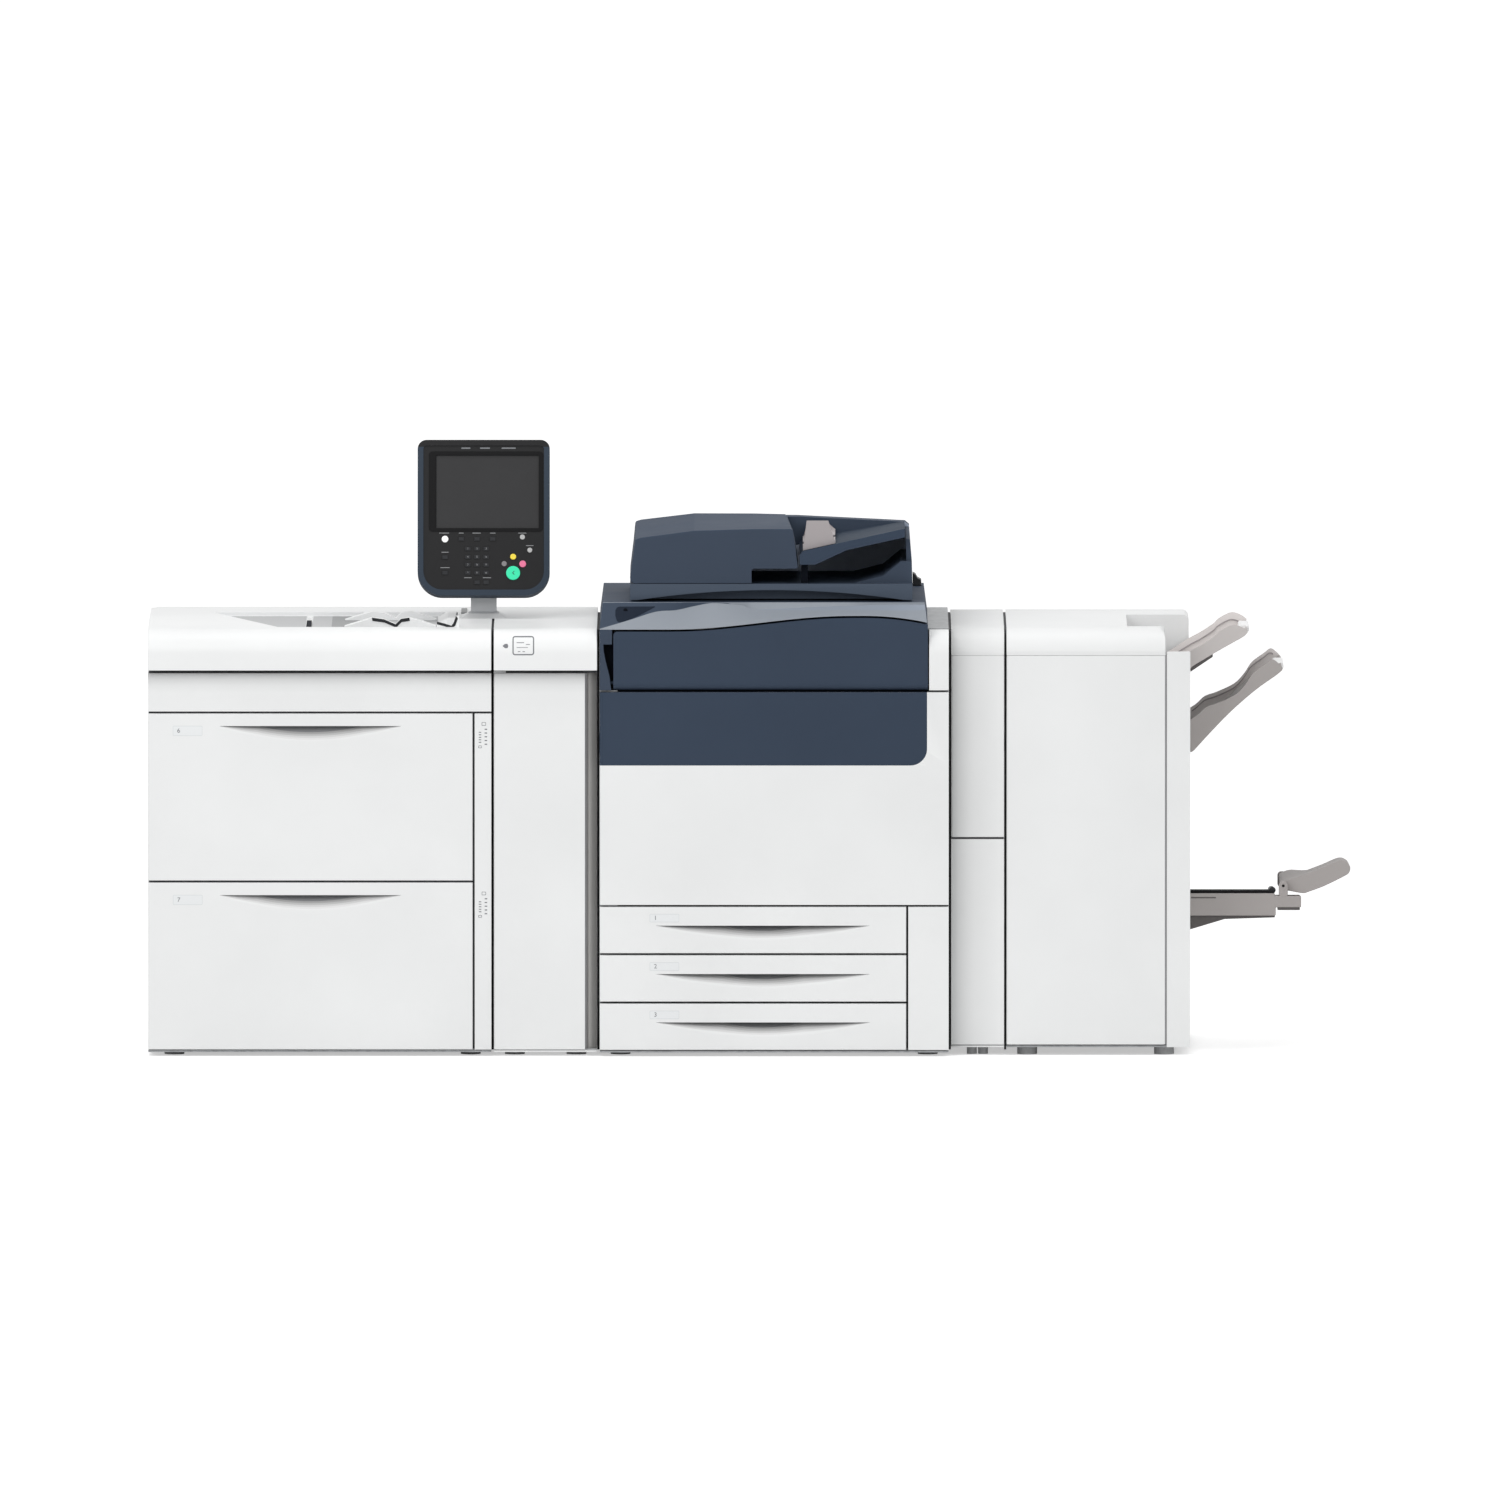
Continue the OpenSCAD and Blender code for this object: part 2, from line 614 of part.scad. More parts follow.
module engine_frame() color("gainsboro") {
    difference() {
        box([x_e0, frame_y0, foot_h], [x_e1, frame_y1, deck_z]);
        for (i = [0:2])
            box([x_e0 + wall, frame_y0 - over, i == 0 ? foot_h + wall : tray_z(i) - seam + shelf_lift + wall],
                [tray_x1 - wall, frame_y1 - wall, tray_z(i) + tray_h + shelf_lift]);
        box([tray_x1, frame_y0 - over, foot_h + wall],
            [x_e1 - wall, frame_y1 - wall, door_z0 - seam + shelf_lift]);
        box([x_e0 + wall, frame_y0 - over, door_z0 - seam + shelf_lift + wall],
            [x_e1 - wall, frame_y1 - wall, process_z - wall]);
        box([x_e0 + wall, frame_y0 - over, process_z],
            [x_e1 - wall, frame_y1 - wall, door_z1 + shelf_lift]);
        box([x_e0 + wall, frame_y0 - over, door_z1 + shelf_lift + wall],
            [x_e1 - wall, frame_y1 - wall, deck_z - wall]);
    }
    for (i = [0:2], x = [x_e0 + wall, tray_x1 - wall - tray_rail_w])
        box([x, frame_y0 + wall, i == 0 ? foot_h + wall : tray_z(i) - seam + shelf_lift + wall],
            [x + tray_rail_w, back_of_fronts + tray_bin_d, tray_z(i) + tray_bin_lift - seat_gap]);
    base_lip(x_e0, x_e1, engine_y, frame_y0, foot_h);
    hinge_plate(x_e0, engine_y, engine_front_t, door_z0 - seam + shelf_lift, frame_y0, true);
    hinge_plate(x_e0, engine_y, engine_front_t, door_z1 + shelf_lift, frame_y0, false);
}

module tray_front(i) color("whitesmoke")
    handled_front(x_e0, tray_x1, tray_z(i), tray_z(i) + tray_h, engine_y, engine_front_t,
        (x_e0 + tray_x1) / 2 + tray_handle_shift, tray_handle_w, tray_handle_sag, tray_handle_drop,
        tray_pocket_w, tray_pocket_sag);
module tray_bin(i) color("lightgray")
    bin(x_e0 + wall + slide_gap, tray_x1 - wall - slide_gap, back_of_fronts, back_of_fronts + tray_bin_d,
        tray_z(i) + tray_bin_lift, tray_z(i) + tray_h - tray_bin_head);
module tray_1_front() tray_front(2);
module tray_2_front() tray_front(1);
module tray_3_front() tray_front(0);
module tray_1_bin() tray_bin(2);
module tray_2_bin() tray_bin(1);
module tray_3_bin() tray_bin(0);

module inlay_outline() {
    z0 = door_z1 - inlay_h;
    rect([x_e0 + door_corner_r, z0 + inlay_r], [inlay_x1, door_z1]);
    rect([x_e0 + door_corner_r, z0], [inlay_x1 - inlay_r, z0 + inlay_r]);
    translate([inlay_x1 - inlay_r, z0 + inlay_r]) circle(inlay_r, $fn = 72);
}

module front_door() color("whitesmoke") difference() {
    door(x_e0, x_e1, door_z0, door_z1, engine_y, engine_front_t);
    along_y(engine_y - over, engine_y + inlay_t) inlay_outline();
}

module door_panel() color("slategray") along_y(engine_y, engine_y + inlay_t) inlay_outline();

module toner_cover() color("slategray") {
    axis_y = engine_y + toner_hinge_r;
    axis_z = toner_z0 + toner_hinge_r;
    intersection() {
        along_y(engine_y, engine_y + toner_t)
            polygon(concat([[toner_x1, toner_z0], [toner_x0, toner_z0]], wave_points(0, toner_x0, toner_x1)));
        along_x(toner_x0, toner_x1) {
            rect([engine_y, axis_z], [engine_y + toner_t, toner_z1 + 2 * wave_rise]);
            translate([axis_y, axis_z]) circle(toner_hinge_r);
        }
    }
    translate([toner_x0 - toner_gap - toner_pin_reach, axis_y, axis_z]) rotate([0, 90, 0])
        cylinder(h = toner_x1 - toner_x0 + 2 * (toner_gap + toner_pin_reach), d = pin_d);
}

// Print units inside the engine, one of each colour
colours = 4;
unit_step = 112;
unit_inset = 66;
unit_x0 = x_e0 + unit_inset;
toner_r = 44;
toner_seat_h = 8;
toner_len = 480;
toner_inset = 14;
toner_y0 = frame_y0 + toner_inset;
drum_r = 30;
drum_case_w = 92;
drum_case_h = 84;
belt_len = 470;
belt_r = 26;
belt_t = 2;
belt_side_t = 12;
belt_h = 78;
belt_inset = 60;
belt_y0 = frame_y0 + belt_inset;
belt_w = 360;
belt_lift = 40;
roller_fit = 0.3;
shaft_d = 12;
fuser_w = 150;
fuser_h = 190;
fuser_gap = 36;
fuser_roller_r = 28;
fuser_wall = 8;

module toner_cartridges() color("dimgray") for (i = [0:colours - 1]) {
    x = unit_x0 + i * unit_step + unit_step / 2;
    z = door_z1 + shelf_lift + wall;
    translate([x, toner_y0, z + toner_seat_h + toner_r]) rotate([-90, 0, 0])
        cylinder(h = toner_len, r = toner_r);
    box([x - toner_r / 2, toner_y0, z],
        [x + toner_r / 2, toner_y0 + toner_len, z + toner_seat_h + toner_r / 4]);
}

module drum_units() color("darkslategray") for (i = [0:colours - 1]) {
    x = unit_x0 + i * unit_step + unit_step / 2;
    z = process_z + belt_h;
    translate([x - drum_case_w / 2, belt_y0, z]) difference() {
        box([0, 0, 0], [drum_case_w, belt_w, drum_case_h]);
        box([wall, belt_side_t, -over], [drum_case_w - wall, belt_w - belt_side_t, drum_case_h - wall]);
    }
    translate([x, belt_y0 + belt_side_t - wall, z + drum_r + belt_t]) rotate([-90, 0, 0])
        cylinder(h = belt_w - 2 * (belt_side_t - wall), r = drum_r);
}

module transfer_belt() color("dimgray") {
    z = process_z + belt_lift;
    ends = [unit_x0 + belt_r, unit_x0 + belt_len - belt_r];
    for (y = [belt_y0, belt_y0 + belt_w - belt_side_t])
        box([unit_x0 - wall, y, process_z], [unit_x0 + belt_len + wall, y + belt_side_t, process_z + belt_h]);
    along_y(belt_y0 + belt_side_t + plane_gap, belt_y0 + belt_w - belt_side_t - plane_gap) difference() {
        union() {
            for (x = ends) translate([x, z]) circle(belt_r);
            rect([ends[0], z - belt_r], [ends[1], z + belt_r]);
        }
        for (x = ends) translate([x, z]) circle(belt_r - belt_t);
        rect([ends[0], z - belt_r + belt_t], [ends[1], z + belt_r - belt_t]);
    }
    for (x = ends) {
        translate([x, belt_y0 + belt_side_t + plane_gap, z]) rotate([-90, 0, 0])
            cylinder(h = belt_w - 2 * (belt_side_t + plane_gap), r = belt_r - belt_t / 2);
        translate([x, belt_y0 + wall, z]) rotate([-90, 0, 0]) cylinder(h = belt_w - 2 * wall, d = shaft_d);
    }
}

module fuser_unit() color("gray") translate([unit_x0 + belt_len + fuser_gap, belt_y0, process_z]) {
    difference() {
        box([0, 0, 0], [fuser_w, belt_w, fuser_h]);
        box([fuser_wall, belt_side_t, fuser_wall],
            [fuser_w - fuser_wall, belt_w - belt_side_t, fuser_h + over]);
    }
    for (s = [-1, 1])
        translate([fuser_w / 2 + s * (fuser_roller_r + roller_fit / 2), belt_side_t / 2, fuser_h / 2])
            rotate([-90, 0, 0]) cylinder(h = belt_w - belt_side_t, r = fuser_roller_r);
}

// Scanner
platen_z = deck_z + scanner_h;
shoulder_run = 67;
platen_y0 = engine_y + shoulder_run;
scanner_x1 = x_e1 - right_strip_w - toner_gap;
scanner_inset = 20;
scanner_y1 = frame_y1 - scanner_inset;
scanner_wall = 6;
shoulder_drop = 25;          // from the platen down to the shoulder's front edge
glass_inset = 110;
glass_x0 = x_e0 + glass_inset;
glass_y0 = -180;
glass_t = 4;
glass_ledge = 10;
scan_w = 60;
scan_h = 38;
scan_rod_d = 10;
scan_fit = 0.3;
ear_r = 12;
ear_t = 14;
ear_gap = 0.5;
ear_lift = 1;
adf_hinge_z = platen_z + ear_r + ear_lift;
scan_mid_z = deck_z + scanner_wall + seat_gap + scan_h / 2;
adf_arm_w = 40;
adf_arm_inset = 110;

// Document feeder
adf_lift = 4;                // gap between the platen and the closed feeder
adf_inset = 73;
adf_x0 = x_e0 + adf_inset;
adf_x1 = adf_x0 + adf_w;
adf_step = 20;
adf_y0 = platen_y0 + adf_step;
adf_y1 = adf_y0 + adf_d;
adf_hinge_run = 52;
adf_hinge_y = adf_y1 + adf_hinge_run;
adf_z0 = platen_z + adf_lift;
adf_z1 = adf_z0 + adf_base_t;
arch_w = 640;
arch_sag = 24;
arch_deep = 46;
rear_wall_t = 60;
rear_wall_h = 126;
rear_wall_z = adf_z1 + rear_wall_h;
rear_wall_drops = [26, 4, 11, 19]; // at its left end, past the shoulder, at the cheek, at its right end
rise_w = 140;
rise_h = 52;
cheek_t = 14;
cheek_h = 104;
cheek_d = 400;
feed_frame_inset = 34;
feed_frame_room = 28;
feed_frame_h = 62;
cover_hinge_r = 14;
cover_pin_d = 8;
cover_ear_r = 9;
cover_ear_t = 16;
cover_ear_inset = 40;
cover_wall = 4;
cover_roof = 50;
cover_left_drop = 21;
cover_step_w = 111;
cover_step_h = 36;
cover_shoulder = 150;
cover_right_z = adf_z1 + adf_cover_h;
cover_hinge_x = adf_x0 + cover_hinge_r;
cover_hinge_z = adf_z1 + cover_hinge_r + seat_gap;
cover_y1 = adf_y1 - rear_wall_t - plane_gap;
feed_frame_w = adf_cover_w - cover_step_w - feed_frame_inset - feed_frame_room;
cover_x1 = adf_x0 + adf_cover_w;
in_gap = 4;
in_x0 = cover_x1 + in_gap;
in_x1 = adf_x1 - cheek_t - in_gap;
in_lift = 77;
in_z0 = adf_z1 + in_lift;
in_rise = 56;
in_t = 21;
in_root_t = 31;
in_root_w = 38;
in_chamfer = 8;
in_pin_inset = 12;
in_pin_drop = 16;
in_pin_x = in_x0 + in_pin_inset;
in_pin_z = in_z0 - in_pin_drop;
in_post_t = 14;
in_post_w = 16;
in_post_inset = 30;
in_post_y = adf_y0 + in_post_inset;
guide_fence_h = 40;
fence_t = 4;
fence_len = 78;
fence_lean = 18;
fence_spread = 205;
fence_foot = 190;
fence_foot_t = 3;
fence_x0 = in_x0 + in_chamfer;
in_y1 = adf_y1 - rear_wall_t - plane_gap;

module scanner_housing() color("slategray") {
    difference() {
        union() {
            along_x(x_e0, scanner_x1) polygon([
                [engine_y, toner_z1 - wave_rise], [engine_y, platen_z - shoulder_drop],
                [platen_y0, platen_z], [scanner_y1, platen_z], [scanner_y1, deck_z],
                [back_of_fronts, deck_z], [back_of_fronts, toner_z1 - wave_rise]]);
            box([x_e0, engine_y, toner_z0], [x_e0 + left_strip_w, back_of_fronts, toner_z1]);
        }
        along_y(engine_y - over, back_of_fronts + over) polygon(concat(
            [[scanner_x1 + over, toner_z0 - over], [x_e0 + left_strip_w, toner_z0 - over],
             [x_e0 + left_strip_w, wave(0) + seam]],
            wave_points(seam, toner_x0, toner_x1),
            [[scanner_x1 + over, wave(1) + seam]]));
        box([x_e0 + scanner_wall, platen_y0 + scanner_wall, deck_z + scanner_wall],
            [scanner_x1 - scanner_wall, scanner_y1 - scanner_wall, platen_z - scanner_wall]);
        box([glass_x0, glass_y0, platen_z - glass_t],
            [glass_x0 + glass_w, glass_y0 + glass_d, platen_z + over]);
        box([glass_x0 + glass_ledge, glass_y0 + glass_ledge, platen_z - 2 * scanner_wall],
            [glass_x0 + glass_w - glass_ledge, glass_y0 + glass_d - glass_ledge, platen_z + over]);
        translate([x_e0 + left_strip_w - toner_pin_reach - plane_gap, engine_y + toner_hinge_r,
                   toner_z0 + toner_hinge_r]) rotate([0, 90, 0])
            cylinder(h = left_strip_w, d = pin_d + 2 * pin_fit);
    }
    translate([x_e0, glass_y0 + glass_d / 2, scan_mid_z]) rotate([0, 90, 0])
        cylinder(h = scanner_x1 - x_e0, d = scan_rod_d);
    for (x = [adf_x0 + adf_arm_inset, adf_x1 - adf_arm_inset]) translate([x, adf_hinge_y, 0]) {
        for (s = [-1, 1]) {
            x0 = s * (adf_arm_w / 2 + ear_gap + ear_t / 2) - ear_t / 2;
            box([x0, -ear_r, platen_z], [x0 + ear_t, ear_r, adf_hinge_z]);
            translate([x0, 0, adf_hinge_z]) rotate([0, 90, 0]) cylinder(h = ear_t, r = ear_r);
        }
        translate([-adf_arm_w / 2 - ear_t, 0, adf_hinge_z]) rotate([0, 90, 0])
            cylinder(h = adf_arm_w + 2 * ear_t, d = pin_d);
    }
}

module platen_glass() color("lightblue")
    box([glass_x0, glass_y0, platen_z - glass_t], [glass_x0 + glass_w, glass_y0 + glass_d, platen_z]);

module scan_carriage() color("dimgray") difference() {
    box([glass_x0, glass_y0, scan_mid_z - scan_h / 2],
        [glass_x0 + scan_w, glass_y0 + glass_d, scan_mid_z + scan_h / 2]);
    translate([glass_x0 - over, glass_y0 + glass_d / 2, scan_mid_z]) rotate([0, 90, 0])
        cylinder(h = scan_w + 2 * over, d = scan_rod_d + 2 * scan_fit);
}

module adf_base() color("slategray") {
    arch_r = (arch_w * arch_w / 4 + arch_sag * arch_sag) / (2 * arch_sag);
    difference() {
        box([adf_x0, adf_y0, adf_z0], [adf_x1, adf_y1, adf_z1]);
        intersection() {
            translate([(adf_x0 + adf_x1) / 2, adf_y0 - over, adf_z0 + arch_sag - arch_r]) rotate([-90, 0, 0])
                cylinder(h = arch_deep + over, r = arch_r, $fn = 96);
            box([adf_x0, adf_y0 - 2 * over, adf_z0 - over], [adf_x1, adf_y0 + arch_deep, adf_z1]);
        }
    }
    for (x = [adf_x0 + adf_arm_inset, adf_x1 - adf_arm_inset]) difference() {
        union() {
            box([x - adf_arm_w / 2, adf_y1 - over, adf_z0],
                [x + adf_arm_w / 2, adf_hinge_y, adf_hinge_z + ear_r - over]);
            translate([x - adf_arm_w / 2, adf_hinge_y, adf_hinge_z]) rotate([0, 90, 0])
                cylinder(h = adf_arm_w, r = ear_r);
        }
        translate([x - adf_arm_w, adf_hinge_y, adf_hinge_z]) rotate([0, 90, 0])
            cylinder(h = 2 * adf_arm_w, d = pin_d + 2 * pin_fit);
    }
    // Frame of the feed rollers, under the cover
    ear_room = cover_ear_inset + cover_ear_t + over;
    box([adf_x0 + feed_frame_inset, adf_y0 + ear_room, adf_z1],
        [adf_x0 + feed_frame_inset + feed_frame_w, adf_y1 - rear_wall_t - ear_room, adf_z1 + feed_frame_h]);
    // Rear wall, the rise at the output's right end, and the cheek that closes that end
    difference() {
        union() {
            along_y(adf_y1 - rear_wall_t, adf_y1) polygon([
                [adf_x0, adf_z1], [adf_x0, rear_wall_z - rear_wall_drops[0]],
                [adf_x0 + cover_shoulder, rear_wall_z - rear_wall_drops[1]], [cover_x1, rear_wall_z],
                [adf_x1 - cheek_t, rear_wall_z - rear_wall_drops[2]],
                [adf_x1, rear_wall_z - rear_wall_drops[3]], [adf_x1, adf_z1]]);
            box([adf_x1 - cheek_t, adf_y1 - rear_wall_t - cheek_d, adf_z1],
                [adf_x1, adf_y1, adf_z1 + cheek_h]);
            along_y(adf_y0 + rear_wall_t / 2, adf_y1) polygon([
                [adf_x1, adf_z1], [adf_x1 - rise_w, adf_z1], [adf_x1 - rise_w / 2, adf_z1 + rise_h / 3],
                [adf_x1 - rise_w / 5, adf_z1 + rise_h], [adf_x1, adf_z1 + rise_h]]);
        }
        translate([in_pin_x, in_y1 - over, in_pin_z]) rotate([-90, 0, 0])
            cylinder(h = pin_reach + over + plane_gap, d = pin_d + 2 * pin_fit);
    }
    // Ears of the feeder cover and post of the input tray
    for (y = [adf_y0 + cover_ear_inset, adf_y1 - rear_wall_t - cover_ear_inset - cover_ear_t]) difference() {
        union() {
            box([cover_hinge_x, y, adf_z1], [cover_hinge_x + cover_ear_r, y + cover_ear_t, cover_hinge_z]);
            translate([cover_hinge_x, y, cover_hinge_z]) rotate([-90, 0, 0])
                cylinder(h = cover_ear_t, r = cover_ear_r);
        }
        translate([cover_hinge_x, y - over, cover_hinge_z]) rotate([-90, 0, 0])
            cylinder(h = cover_ear_t + 2 * over, d = cover_pin_d + 2 * pin_fit);
    }
    difference() {
        union() {
            box([in_pin_x - in_post_w / 2, in_post_y, adf_z1],
                [in_pin_x + in_post_w / 2, in_post_y + in_post_t, in_pin_z]);
            translate([in_pin_x, in_post_y, in_pin_z]) rotate([-90, 0, 0])
                cylinder(h = in_post_t, d = in_post_w);
        }
        translate([in_pin_x, in_post_y - over, in_pin_z]) rotate([-90, 0, 0])
            cylinder(h = in_post_t + 2 * over, d = pin_d + 2 * pin_fit);
    }
}

module adf_cover() color("slategray") {
    z0 = adf_z1 + plane_gap;
    step_x = cover_x1 - cover_step_w;
    step_z = adf_z1 + cover_step_h;
    difference() {
        along_y(adf_y0, cover_y1) polygon([
                [adf_x0, cover_hinge_z], [adf_x0, cover_right_z - cover_left_drop - cover_wall],
                [adf_x0 + 3 * cover_wall, cover_right_z - cover_left_drop],
                [adf_x0 + cover_shoulder, cover_right_z - cover_wall],
                [adf_x0 + 2 * cover_shoulder, cover_right_z],
                [cover_x1 - cover_wall, cover_right_z], [cover_x1, cover_right_z - cover_wall],
                [cover_x1, step_z + cover_wall], [cover_x1 - cover_wall, step_z],
                [step_x + cover_wall, step_z], [step_x, step_z - cover_wall],
                [step_x, z0], [cover_hinge_x, z0], [cover_hinge_x, cover_hinge_z]]);
        box([adf_x0 + cover_wall, adf_y0 + cover_wall, adf_z1 - over],
            [step_x - cover_wall, cover_y1 - cover_wall, cover_right_z - cover_roof]);
    }
    difference() {
        translate([cover_hinge_x, adf_y0, cover_hinge_z]) rotate([-90, 0, 0])
            cylinder(h = cover_y1 - adf_y0, r = cover_hinge_r);
        box([adf_x0 - over, adf_y0 + cover_wall, adf_z1 - over],
            [cover_hinge_x + 2 * cover_hinge_r, cover_y1 - cover_wall, cover_hinge_z + 2 * cover_hinge_r]);
    }
    translate([cover_hinge_x, adf_y0 + cover_wall / 2, cover_hinge_z]) rotate([-90, 0, 0])
        cylinder(h = cover_y1 - adf_y0 - cover_wall, d = cover_pin_d);
}

function in_top(x) = in_z0 + in_rise * (x - in_x0) / (in_x1 - in_x0);

module adf_input_tray() color("slategray") {
    difference() {
        along_y(adf_y0, in_y1) polygon([
            [in_x0, in_z0 - in_chamfer], [in_x0 + in_chamfer, in_top(in_x0 + in_chamfer)],
            [in_x1, in_top(in_x1)], [in_x1, in_top(in_x1) - in_t],
            [in_x0 + 3 * in_root_w, in_top(in_x0 + 3 * in_root_w) - in_t],
            [in_x0 + in_root_w, in_z0 - in_root_t], [in_x0, in_z0 - in_root_t]]);
        box([in_x0 - over, in_post_y - plane_gap, in_z0 - 2 * in_root_t],
            [in_x0 + in_root_w, in_post_y + in_post_t + plane_gap, in_pin_z + pin_d + plane_gap]);
    }
    translate([in_pin_x, in_post_y - plane_gap - over, in_pin_z]) rotate([-90, 0, 0])
        cylinder(h = in_post_t + 2 * (plane_gap + over), d = pin_d);
    translate([in_pin_x, in_y1 - over, in_pin_z]) rotate([-90, 0, 0])
        cylinder(h = pin_reach + over, d = pin_d);
}

// Side guide of the documents; side is -1 at the front and 1 at the rear, whose foot passes over the other
module document_guide(side) {
    mid = (adf_y0 + in_y1) / 2;
    y = mid + side * fence_spread;
    x1 = fence_x0 + fence_len;
    xt = fence_x0 + fence_lean;
    lift = seat_gap + (side < 0 ? 0 : fence_foot_t + seat_gap);
    color("rosybrown") {
        along_y(side < 0 ? y - fence_t : y, side < 0 ? y : y + fence_t) polygon([
            [fence_x0, in_top(fence_x0) + seat_gap], [x1, in_top(x1) + seat_gap],
            [x1, in_top(x1) + guide_fence_h], [xt, in_top(xt) + guide_fence_h]]);
        along_y(side < 0 ? y : y - fence_foot, side < 0 ? y + fence_foot : y) polygon([
            [fence_x0, in_top(fence_x0) + lift], [x1, in_top(x1) + lift],
            [x1, in_top(x1) + lift + fence_foot_t], [fence_x0, in_top(fence_x0) + lift + fence_foot_t]]);
    }
}
module document_guide_front() document_guide(-1);
module document_guide_rear() document_guide(1);

// Transport and finisher
finisher_y = front_y + finisher_setback;
finisher_y1 = finisher_y + finisher_d;
finisher_back = finisher_y1 - rear_cover_d;
fin_frame_y0 = finisher_y + finisher_door_t + plane_gap;
nose_z0 = deck_z - finisher_nose_r;
fin_door_z1 = nose_z0 - seam;
fin_z0 = finisher_foot_h + lip_h;
transport_mid_z = 523.5;
fin_floor_drop = 48;
fin_floor_z = nose_z0 - fin_floor_drop;
fin_door_x1 = x_n1 - pillar_w - plane_gap - wall;
notch_w = 151;
notch_step = 20;
notch_x0 = x_n1 - notch_w;
notch_y0 = finisher_y + finisher_nose_r + notch_step;
notch_y1 = 122;
fin_side_t = 12;
cap_t = 4;
slot_h = 26;
slot_y = 180;
exit_y = -40;                // middle of the paper path
booklet_z = 384;
stack_z0 = 728;
stack_len = 223;
stack_rise = 208;
stack_t = 12;
stack_wall_t = 6;
stack_wall_h = 92;
stack_shares = [0.9, 0.8];    // where the side walls end along the tray
stack_half = 190;
stack_root = 118;
stack_root_t = 26;
rail_w = 20;
rail_t = 8;
bracket_w = 60;
out_gap = 1;
top_slope = 30;
top_reach = 147;
top_root = 38;
top_tray_t = 8;
top_tray_y0 = -230;
top_tray_y1 = 110;
top_lip_h = 20;
booklet_half = 170;
booklet_len = 213;
booklet_t = 46;
booklet_sink = 34;
booklet_step = 55;
booklet_step_t = 26;
belt_reach = 205;
flap_slope = 22;
flap_t = 9;
flap_pin_r = 10;
flap_out = 12;
flap_up = 14;
flap_x = x_n1 + booklet_len + flap_out;
flap_z = booklet_z + flap_up;
flap_reach = total_w / 2 - flap_x;

// Rounded top edge, r high, running back to a plane
module nose_profile(y, r, back, z1) intersection() {
    rect([y, z1 - r], [back, z1]);
    union() {
        translate([y + r, z1 - r]) circle(r, $fn = 96);
        rect([y + r, z1 - 2 * r], [back + r, z1]);
    }
}

module transport_frame() color("gainsboro") {
    difference() {
        box([x_t0, fin_frame_y0, finisher_foot_h], [x_t1, finisher_back, deck_z]);
        box([x_t0 + wall, fin_frame_y0 - over, finisher_foot_h + wall],
            [x_t1 - wall, finisher_back - wall, nose_z0 - wall]);
        box([x_t0 - over, fin_frame_y0 - over, nose_z0],
            [x_t1 + over, finisher_y + finisher_nose_r, deck_z + over]);
    }
    along_x(x_t0, x_t1)
        nose_profile(finisher_y, finisher_nose_r, finisher_y + finisher_nose_r + over, deck_z);
    box([x_t0, finisher_y, fin_z0], [x_t1, fin_frame_y0, transport_mid_z - seam / 2]);
    base_lip(x_t0, x_t1, finisher_y, fin_frame_y0, finisher_foot_h);
    docking(x_t0);
    docking(x_n0);
    hinge_plate(x_t0, finisher_y, finisher_door_t, transport_mid_z - wall / 2, fin_frame_y0, true);
    hinge_plate(x_t0, finisher_y, finisher_door_t, fin_door_z1 + shelf_lift, fin_frame_y0, false);
}

module transport_door() color("whitesmoke")
    door(x_t0, x_t1, transport_mid_z + seam / 2, fin_door_z1, finisher_y, finisher_door_t);

module finisher_frame() color("gainsboro") {
    difference() {
        box([x_n0, fin_frame_y0, finisher_foot_h], [x_n1 - fin_side_t, finisher_back, fin_floor_z]);
        box([x_n0 + wall, fin_frame_y0 - over, finisher_foot_h + wall],
            [x_n1 - fin_side_t - wall, finisher_back - wall, fin_floor_z - wall]);
        // Ways of the paper to the stacker and booklet trays
        for (z = [booklet_z + out_gap, stack_z0 + stack_root])
            box([x_n1 - fin_side_t - 2 * wall, exit_y - slot_y, z], [x_n1, exit_y + slot_y, z + slot_h]);
    }
    base_lip(x_n0, x_n1 - pillar_w, finisher_y, fin_frame_y0, finisher_foot_h);
    hinge_plate(x_n0, finisher_y, finisher_door_t, fin_z0 - over - wall, fin_frame_y0, true);
}

module finisher_door() color("whitesmoke")
    door(x_n0, fin_door_x1, fin_z0, fin_door_z1, finisher_y, finisher_door_t);

